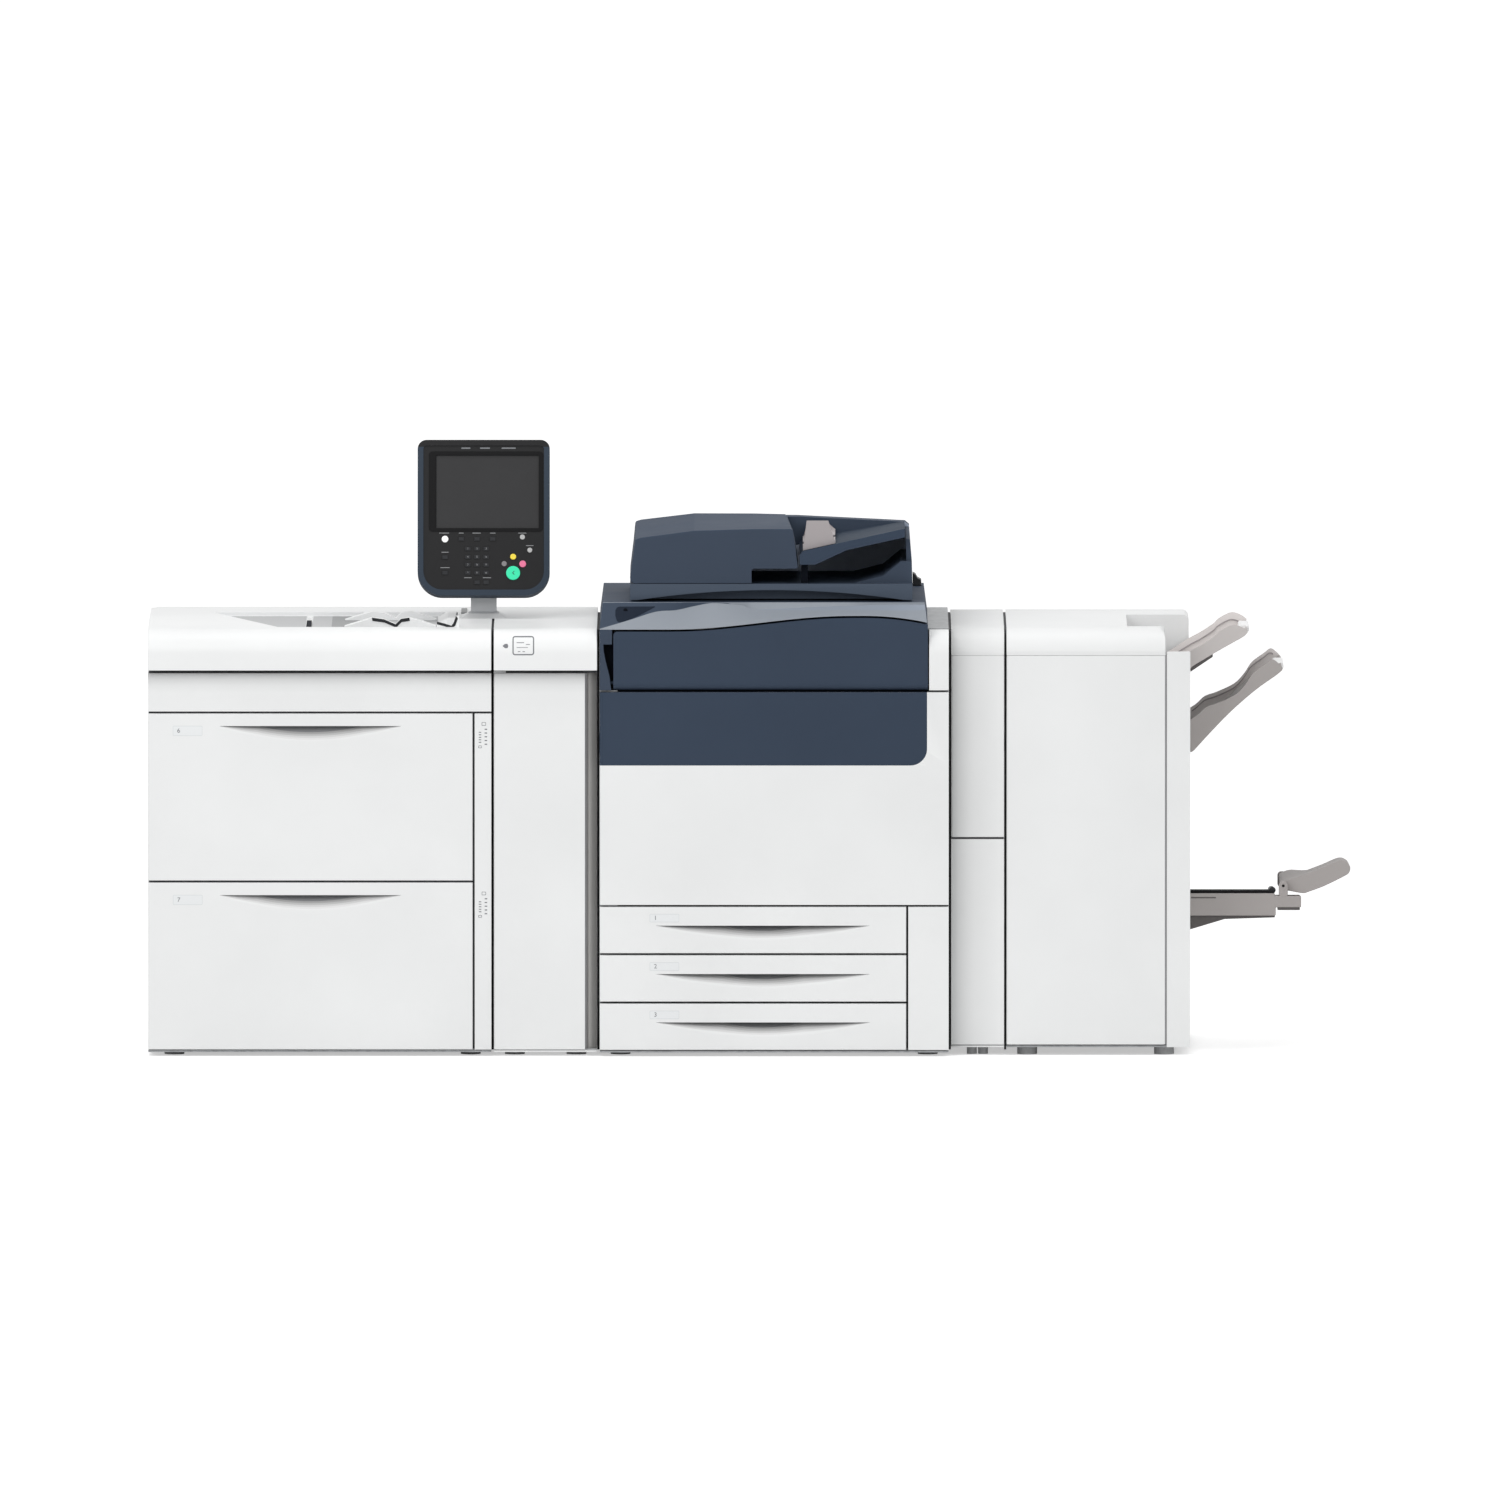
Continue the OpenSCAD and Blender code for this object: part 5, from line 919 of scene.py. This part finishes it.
# Changes to CAD nodes
def corner_bevel(bm, spots, width):
    """Rounds the edges that run along Y through the given (x, z) spots."""
    found = [e for e in bm.edges if abs(e.verts[0].co.y - e.verts[1].co.y) > 0.004 and any(
        all(abs(v.co.x / MM - x) < 1.0 and abs(v.co.z / MM - z) < 1.0 for v in e.verts) for x, z in spots)]
    bmesh.ops.bevel(bm, geom=found, offset=width * MM, segments=5, profile=0.5, affect="EDGES",
                    clamp_overlap=True)


def tone_faces(bm, index_at):
    """Gives each face the material index, or a test's 0 or 1, found for its middle (mm) and its normal."""
    bm.normal_update()
    for face in bm.faces:
        face.material_index = int(index_at(*mm(face.calc_center_median()), face.normal))


FAR_RISE = ((-288, 13), (-190, 13), (-100, 10), (0, 7), (115, 5), (180, 11), (300, 6), (390, 3))


def lean_feeder(bm):
    """Draws the feeder's upper ends inward and lifts its far side a little."""
    left_lean, right_lean, lid_z = 17, 9, 1215
    for v in bm.verts:
        x, y, z = mm(v.co)
        lean = left_lean * share(-x, 100, 250) - right_lean * share(x, 372, 384)
        v.co.x += MM * share(z, 1172, 1260) * lean
        if z > lid_z:
            v.co.z += MM * track(x, FAR_RISE) * share(y, -200, 140)


def lean_cover(bm):
    """The feeder's lid: also leans its right end, and its top at the left takes the darker dark shell as
    painted shade.
    """
    lean_feeder(bm)
    for v in bm.verts:
        x, y, z = mm(v.co)
        if 60 < x and z > 1200:
            v.co.x -= MM * share(z, 1200, 1262) * (12 + 14 * share(y, -300, 140))
    tone_faces(bm, lambda x, y, z, normal: normal.z > 0.5 and x < -170)


def tray_line(x):
    """Height of the input tray's upper face at x."""
    return INPUT_TRAY_FOOT[1] + INPUT_TRAY_SLOPE * (x - INPUT_TRAY_FOOT[0])


def shade_base(bm):
    """The feeder's base: leans, with a dark hinge post, and with painted light on the walls inside the output
    and on its front band.
    """
    def index_at(x, y, z, normal):
        if 110 < x < 150 and y < -240 and 1133 < z < 1200:
            return 1
        if normal.y >= -0.5:
            return 0
        if x > 60 and z > 1130 and y > -240:
            return 2 if z < tray_line(x) else 4
        return 3 if z < 1129 else 0

    lean_feeder(bm)
    slice_at(bm, (INPUT_TRAY_FOOT[0], 0, INPUT_TRAY_FOOT[1]), (-INPUT_TRAY_SLOPE, 0, 1))
    tone_faces(bm, index_at)


def twist_tray(bm):
    """Lowers the far right corner of the input tray, and paints its top darker as shade."""
    drop = 13
    tone_faces(bm, lambda x, y, z, normal: normal.z > 0.5)
    for v in bm.verts:
        x, y, z = mm(v.co)
        v.co.z -= MM * drop * share(x, 225, 355) * share(y, -250, 130)


def raise_fence(left, right, top):
    """Change for a document guide: a tall fence with a level top, leant towards the rollers."""
    middle, foot_z, foot_rise = 170, 1236, 25

    def change(bm):
        for v in bm.verts:
            x, y, z = mm(v.co)
            if z > foot_z and z > tray_line(x) + foot_rise:
                v.co.x = MM * (left if x < middle else right)
                v.co.z = MM * top
    return change


def round_end(bm, x_end, radius, near, far):
    """Rounds the upper right corner of a cover that ends at x_end, between two depths."""
    start, low, cuts = x_end - radius, DECK_Z - radius, 6
    for i in range(1, cuts + 1):
        slice_at(bm, (start + radius * math.sin(math.radians(90 / cuts * (i - 0.5))), 0, 0), (1, 0, 0))
    for v in bm.verts:
        x, y, z = mm(v.co)
        if 0 < x - start < radius + 0.2 and z > low and near <= y <= far:
            v.co.z = MM * min(z, low + math.sqrt(max(0.0, radius * radius - (x - start) ** 2)))


def round_finisher(bm):
    """Rounds the finisher's two upper right corners and the step between them."""
    round_end(bm, FINISHER_X[1], 22.0, -351, -271)
    round_end(bm, FINISHER_X[2], 15.0, 121, 286)
    corner_bevel(bm, ((1001, 971), (FINISHER_X[2], 971)), 7.0)


def plain_right(bm):
    """Only the covers left of the engine lie under a bezel and take its painted shadow."""
    tone_faces(bm, lambda x, y, z, normal: x > ENGINE_X[0])


def blacken_top(bm):
    """Marks the top of the panel's housing as black."""
    place, top = on_panel(), 281.0
    slice_at(bm, place @ Vector((0, 0, top * MM)) / MM, place.to_3x3() @ Vector((0, 0, 1)))
    back = place.inverted()
    tone_faces(bm, lambda x, y, z, normal: (back @ (Vector((x, y, z)) * MM)).z > top * MM)


def flare_stand(bm):
    """Draws the top of the stand's foot in, so that the neck runs out into the deck."""
    px, py = PANEL_PIVOT[:2]
    foot_z, neck_half, half_x, half_y = 1038, 45, 37, 30
    for v in bm.verts:
        x, y, z = mm(v.co)
        if foot_z - 2 < z < foot_z + 8 and abs(x - px) > neck_half:
            spot = (px + math.copysign(half_x, x - px), py + math.copysign(half_y, y - py), foot_z)
            v.co = Vector(spot) * MM
    tone_faces(bm, lambda x, y, z, normal: z < foot_z + 0.5)


def shells():
    """White and dark covers: CAD nodes with rounded edges, and fronts with scooped handles."""
    for node in ("upper_drawer_front", "lower_drawer_front"):
        handled_front(node, centre=-1055.5, drop=30.0, half=218.5, sag=40.0, deep=25.0, pocket_half=128.0,
                      pocket_drop=15.0)
    for node in ("tray_1_front", "tray_2_front", "tray_3_front"):
        handled_front(node, centre=31.0, drop=45.0, half=257.5, sag=36.0, deep=34.0, pocket_half=100.0,
                      pocket_drop=13.0)
    split_door()
    for node, material, edge in (
            ("interface_door", BEZEL_PAINTED_SHADOW, DOOR_EDGE), ("transport_door", WHITE_PAINTED_SIDE_SHADE, DOOR_EDGE),
            ("finisher_door", WHITE, DOOR_EDGE), ("front_bezels", COVER_WHITE, 2.4),
            ("feeder_top_cover", COVER_WHITE, 1.6), ("transport_frame", WHITE_PAINTED_SIDE_SHADE, 3.0),
            ("interface_frame", WHITE, 1.6)):
        soften(node, material, edge)
    for node, material, edge, change, segments in (
            ("fixed_front_covers", (BEZEL_PAINTED_SHADOW, WHITE), 2.4, plain_right, 3),
            ("finisher_covers", WHITE, 2.0, round_finisher, 3),
            ("rear_and_side_covers", WHITE, 2.4, lambda bm: round_end(bm, FINISHER_X[2], 15.0, 280, 311), 3),
            ("door_panel", DARK, 0.8, None, 2),
            ("toner_cover", DARK, DOOR_EDGE, lambda bm: corner_bevel(bm, ((TONER_X[0], TONER_TOP),), 9.0), 3),
            ("adf_base", (DARK_LIFT, DARK_AND_SLOT_SHADOW, CAVITY_PAINTED_LIGHT, LIP_PAINTED_LIGHT, DARK), 2.0, shade_base, 3),
            ("adf_cover", (DARK_LIFT, DARK), 3.0, lean_cover, 4),
            ("adf_input_tray", (DARK, DARK_TOP_PAINTED_SHADE), 3.0, twist_tray, 4),
            ("document_guide_front", GUIDE_TAUPE, 0.9, raise_fence(136, 188, 1283), 2),
            ("document_guide_rear", GUIDE_TAUPE, 0.9, raise_fence(138, 188, 1249), 2)):
        soften(node, material, edge, change, segments)


# Exit trays
# Side profiles as (x, z) points, smoothed
STACKER_LOW = ((1058, 722), (1067, 726), (1100, 762), (1153, 817), (1212, 869), (1262, 905), (1279, 919))
STACKER_RIDGE = ((1058, 800), (1076, 812), (1096, 830), (1124, 840), (1166, 860), (1190, 884), (1209, 912),
                 (1237, 933), (1254, 945), (1268, 937), (1280, 924))
TOP_LOW = ((1005, 922), (1056, 923), (1064, 929), (1114, 959), (1160, 985), (1186, 1000), (1196, 1010))
TOP_RIDGE = ((1005, 932), (1056, 965), (1084, 980), (1116, 1001), (1128, 1013), (1154, 1027), (1170, 1027),
             (1186, 1020), (1196, 1012))
FLAP = ((1274, 399), (1284, 408), (1330, 423), (1380, 442), (1416, 457), (1434, 454), (1443, 442),
        (1440, 428), (1425, 418), (1380, 396), (1345, 383), (1330, 379), (1300, 384), (1279, 388))


def sculpted_tray(node, low, ridge, far, thick, tone, rear_up=0.0):
    """Tray with two wavy side walls, a slab that follows their lower edge, a moulded line inside each wall
    and a pale tip.
    """
    name, body, near, wall = node + "_shell", body_of_node(node), -230.0, 7.0
    base, crest = smooth_path(low, 4), smooth_path(ridge, 4)
    rear_crest = smooth_path([(x, z + rear_up) for x, z in ridge], 4)
    slab = base + [(x - 3, z + thick) for x, z in reversed(base)]
    bm = joined(along("y", near, near + wall, base + crest[::-1]),
                along("y", far - wall, far, base + rear_crest[::-1]),
                along("y", near + wall - 0.5, far - wall + 0.5, slab))
    bmesh.ops.recalc_face_normals(bm, faces=bm.faces)
    # The rear wall's inner face takes the lighter taupe: painted light
    tone_faces(bm, lambda x, y, z, normal: y > far - wall - 0.5 and normal.y < -0.5)
    dress(name, bm, (tone, TAUPE_PAINTED_LIGHT), edge=2.0, smooth=40, node=node)
    # Line moulded inside each wall, a step below the ridge
    step = [(x - 1, z - 9) for x, z in crest][2:-6]
    ribbon = step + [(x, z - 3.5) for x, z in reversed(step)]
    for side, y in (("front", near + wall - 0.3), ("rear", far - wall - 2.2)):
        dress(f"{name}_line_{side}", along("y", y, y + 2.5, ribbon), GUIDE_TAUPE, body, 0.6)
    (x, z), inset = low[-1], 0.28 * (far - near)
    dress(name + "_tip", bar(near + inset, far - inset, x - 22, z - 5, x + 4, z + 11, 5), TIP, body, 1.5)


def slope(bm, rise, y0, start_x=0.0, end_x=1.0, above=0.0):
    """Lowers what lies above a height, the more the farther back, growing to full between two x places."""
    for v in bm.verts:
        x, y, z = mm(v.co)
        if z > above:
            v.co.z -= MM * rise * (y - y0) * share(x, start_x, end_x)
    return bm


def exit_trays():
    """Stacker tray, top tray, and booklet tray with its belt, dark keel of painted shade and folding stop."""
    sculpted_tray("stacker_tray", STACKER_LOW, STACKER_RIDGE, 150.0, 11.0, TAUPE)
    sculpted_tray("top_tray", TOP_LOW, TOP_RIDGE, 110.0, 8.0, TAUPE_LIGHT, 7.0)
    # Dark keel under the top tray: painted shade
    keel = [(1058.5, 915), (1112, 951), (1112, 958), (1062, 928), (1058.5, 924)]
    dress("top_tray_keel", along("y", -228, 108, keel), TAUPE_PAINTED_SHADE, edge=0.8)
    for side, y in (("front", -120.0), ("rear", 40.0)):
        dress("stacker_bracket_" + side, bar(y - 14, y + 14, 1046, 731, 1072, 752, 2), BLACK, "stacker", 1.0,
              "taupe_plastic")
    near, far, fall = -210, 130, {"rise": 0.068, "y0": -210, "above": 373.5}
    body = [(1057, 326), (1264, 326), (1264, 346), (1325, 346), (1325, 374), (1262, 374), (1262, 380),
            (1057, 380)]
    ears = [bar(y, y + 14, 1271, 370, 1293, 408, 9) for y in (near, far - 14)]
    tray = joined(slope(along("y", near, far, body), **fall), *ears)
    dress("booklet_tray_shell", tray, TAUPE, edge=2.4, smooth=40, node="booklet_tray")
    # Dark keels under the booklet tray and a crease on its front: painted shade
    keel = [(1058, 292), (1085, 300), (1141, 317), (1262, 321), (1262, 327), (1058, 327)]
    dress("booklet_keel", along("y", -200, 120, keel), TAUPE_PAINTED_SHADE, edge=1.2)
    dress("booklet_step_keel", bar(-205, 125, 1268, 339, 1322, 347, 2), TAUPE_PAINTED_SHADE, edge=0.8)
    dress("booklet_crease", bar(-210.6, -208, 1060, 368, 1120, 371, 1), TAUPE_PAINTED_SHADE)
    dress("booklet_belt", slope(bar(-190, 110, 1059, 379.5, 1258, 387.5, 3.6), **fall), BELT, edge=0.8)
    roller = lathe([(3, -192), (8, -190), (8, 110), (3, 112)], (1256, 0, 387.5), 24)
    dress("booklet_belt_roller", slope(roller, **fall), BLACK, smooth=40)
    flap = slope(along("y", -194, 114, smooth_path(FLAP, 4, True)), 0.05, -194, 1300, 1340)
    dress("booklet_flap_shell", flap, TAUPE, edge=2.0, smooth=40, node="booklet_flap")
    pin = lathe([(3.5, -210), (4, -209), (4, 129), (3.5, 130)], (1282, 0, 398), 20)
    dress("booklet_flap_pin", pin, STEEL, "booklet_stop")


# Hand feed
def bypass():
    """Grey recess floor, guides with white peaks and a black line of painted shadow along the fold, and a
    black line of painted shadow by the feed head.
    """
    floor_z = 1018.0
    for part, material, up, outline in (
            ("skin", RECESS_GREY, (-0.4, 0.25), [(-1288, 207), (-1130, -291), (-1068, -291), (-1068, 207)]),
            ("mid", RECESS_GREY, (-0.4, 0.25), [(-1052, 207), (-1052, -291), (-752, -291), (-752, 207)]),
            ("path", RECESS_DEEP, (0.1, 0.3), [(-1006, 200), (-1006, -285), (-908, -285), (-908, 200)])):
        dress("bypass_floor_" + part, along("z", floor_z + up[0], floor_z + up[1], outline), material)
    # Dark slot: painted shade in the gap between the tray's panels
    slot = along("z", floor_z - 3.9, floor_z + 0.6, rounded(-1067, -255, -1055, 60, 4))
    dress("bypass_floor_slot", slot, DARK_AND_SLOT_SHADOW, edge=0.5)
    latch = along("z", DECK_Z, DECK_Z + 3.5, rounded(-696, 150, -682, 300, 3))
    dress("bypass_latch", latch, RECESS_DEEP, edge=1.0)
    fold = [(-909, 1041), (-880, 1037), (-852, 1025), (-839, 1038), (-819, 1041)]
    peaks = [(-975, 1018.4), (-975, 1021)] + fold + [(-790, 1034), (-755, 1022), (-755, 1018.4)]
    for side, y0 in (("front", -171.5), ("rear", 54.5)):
        dress("guide_shell_" + side, along("y", y0, y0 + 33, peaks), COVER_WHITE, edge=1.0, smooth=40,
              node="bypass_guide_" + side)
    # Black strip along the fold: painted shadow of the gap there
    line = [(x, z + 0.6) for x, z in fold] + [(x + 1.5, z - 7.2) for x, z in reversed(fold)]
    shadow_strip = along("y", -173.1, -168.5, line)
    dress("guide_fold_front", shadow_strip, BLACK, body_of_node("bypass_guide_front"), 0.4)
    crest = [(-752, 1041), (-734, 1036.5), (-717, 1031), (-712, 1038), (-706, 1055)]
    fin = [(-752, 1018.2)] + crest + [(-698, 1055), (-698, 1028), (-708, 1018.2)]
    dress("feed_fin", along("y", -296, -290, fin), COVER_WHITE, edge=0.8)
    # Black strip along the crest: painted shadow of the gap between the feed head and the deck
    line = crest + [(x + (4.5 if z > 1033 and x > -720 else 0), z - 6.5) for x, z in reversed(crest)]
    dress("feed_shadow_line", along("y", -297.5, -295.5, line), BLACK, edge=0.3)
    soften("bypass_feed_head", COVER_WHITE, 1.5)


# Rear, left side and inside
def grille(name, x0, z0, columns, rows, y, pitch=(34, 14), slot=(26, 6)):
    """Block of ventilation slots on a cover, drawn as dark patches that paint the shade inside them."""
    parts = []
    for i in range(columns):
        for k in range(rows):
            x, z = x0 + i * pitch[0], z0 + k * pitch[1]
            parts.append(bar(y - 1.5, y + 0.35, x, z, x + slot[0], z + slot[1], slot[1] / 2 - 0.2, steps=3))
    dress(name, joined(*parts), DARK_AND_SLOT_SHADOW)


def screws(name, xs, zs, y):
    """Pan-head screws on a cover that faces +Y, at each crossing of columns and rows."""
    head = [(0.9, 2.2), (3.6, 2.0), (5.2, 1.0), (5.6, -1.5)]
    dress(name, joined(*[lathe(head, (x, y, z), 16) for x in xs for z in zs]), SCREW, smooth=50)


def outer_details():
    """Vents, screws, access plates, side grips and the power inlet's insert."""
    for name, *block, y in (
            ("feeder", -1380, 120, 5, 9, REAR_Y), ("engine_low", -300, 150, 7, 8, REAR_Y),
            ("engine_high", -60, 760, 9, 8, REAR_Y), ("finisher", 690, 140, 6, 7, FINISHER_REAR_Y)):
        grille("vent_" + name, *block, y)
    for name, x0, z0, x1, z1, y in (
            ("feeder", -1405, 300, -1030, 960, REAR_Y), ("feeder_2", -1010, 60, -660, 960, REAR_Y),
            ("engine", -320, 300, -100, 980, REAR_Y), ("interface", -600, 60, -380, 700, REAR_Y),
            ("finisher", 650, 300, 1010, 940, FINISHER_REAR_Y)):
        line = rim_plate(y - 1.5, y + 0.25, x0, z0, x1, z1, 12, 2.4, 9.6)
        dress("plate_line_" + name, line, SOFT_SEAM_SHADOW_AND_LINE, slot="white_shell")
        screws("plate_screws_" + name, (x0 + 18, x1 - 18), (z0 + 18, z1 - 18), y)
    for name, x0, x1, z0, y in (("feeder", -1433, -621, 10, REAR_Y), ("engine", *ENGINE_X, 10, REAR_Y),
                                ("finisher", 616, 1057, 20, FINISHER_REAR_Y)):
        screws("cover_screws_" + name, (x0 + 14, x1 - 14), (z0 + 40, (z0 + DECK_Z) / 2, DECK_Z - 30), y)
    dress("inlet_insert", bar(380, 392, 388.5, 111.5, 435.5, 136.5, 5), BLACK, edge=0.8)
    for x, z in ((402, 122), (412, 128), (422, 122)):
        dress(f"inlet_pin_{x}", bar(390, 394.5, x - 1.2, z - 3.2, x + 1.2, z + 3.2, 0.6), BRASS)
    # Feeder's left side: a grip and a vent as patches of painted shade, with their outlines in Y and Z
    side_x = FEEDER_X[0]
    slots = [rounded(y, z, y + 26, z + 6, 2.6, 3) for y in range(60, 252, 32) for z in range(180, 292, 14)]
    dress("vent_left_side", joined(*[along("x", side_x - 2.35, side_x, slot) for slot in slots]), DARK_AND_SLOT_SHADOW)
    face, slot = rounded(-150, 560, 150, 640, 26), rounded(-130, 596, 130, 628, 14)
    dress("side_grip_face", along("x", side_x - 2.3, side_x, face), DISH_PAINTED_SHADES[1])
    dress("side_grip_slot", along("x", side_x - 2.6, side_x, slot), DARK_AND_SLOT_SHADOW, edge=0.4)


def inner_details():
    """Coloured caps and grips on the toner cartridges, drum units and fuser, and the feeder's white pad."""
    cap = [(8, -8.5), (26, -8), (34, -6), (38, -2), (38, 1.5)]
    for i, tone in enumerate(TONERS):
        x = -239 + 112 * i
        dress(f"toner_cap_{i}", lathe(cap, (x, -329.5, 933), 40), tone, smooth=40)
        dress(f"toner_grip_{i}", bar(-343.5, -336, x - 5, 907, x + 5, 959, 4), BLACK, edge=1.5)
        # The green grips and lever glow: painted light
        dress(f"drum_grip_{i}", bar(-291, -282, x - 30, 690, x + 30, 706, 6), GREEN_PAINTED_GLOW, edge=1.5)
        dress(f"drum_tag_{i}", bar(-284, -282.5, x - 12, 655, x + 12, 675, 3), tone)
    pad = along("z", PLATEN_Z + 0.6, PLATEN_Z + 1.6, rounded(-236, -180, 290, 206, 10))
    dress("platen_pad", pad, COVER_WHITE, body_of_node("adf_base"), 0.4)
    dress("fuser_lever", bar(-296, -282, 252, 640, 320, 662, 9), GREEN_PAINTED_GLOW, edge=2.0)
    grille("fuser_vent", 236, 690, 4, 3, -283.0, (27, 12), (20, 5))


def inner_nodes():
    """Materials of the CAD nodes that show as they are."""
    for material, nodes in (
            (STEEL, "feeder_frame engine_frame finisher_frame"),
            (STEEL, "drawer_runners upper_lift_plate lower_lift_plate"),
            (INNER, "upper_drawer_bin lower_drawer_bin tray_1_bin tray_2_bin tray_3_bin fuser_unit"),
            (BLACK, "drum_units scan_carriage toner_cartridges"), (RECESS_GREY, "levelling_feet"),
            (BELT, "transfer_belt"), (GLASS, "platen_glass"), (RUBBER, "keypad_mat")):
        for node in nodes.split():
            mesh = frame["nodes"][node].data
            mesh.materials.clear()
            mesh.materials.append(material)


make_camera()
make_floor()
make_world()
make_lights()
bpy.context.scene.view_settings.view_transform = "Standard"
shells()
inner_nodes()
exit_trays()
bypass()
seam_shadow_strips()
outer_details()
inner_details()
scanner()
control_panel()
drawer_labels()
bezel_icon()
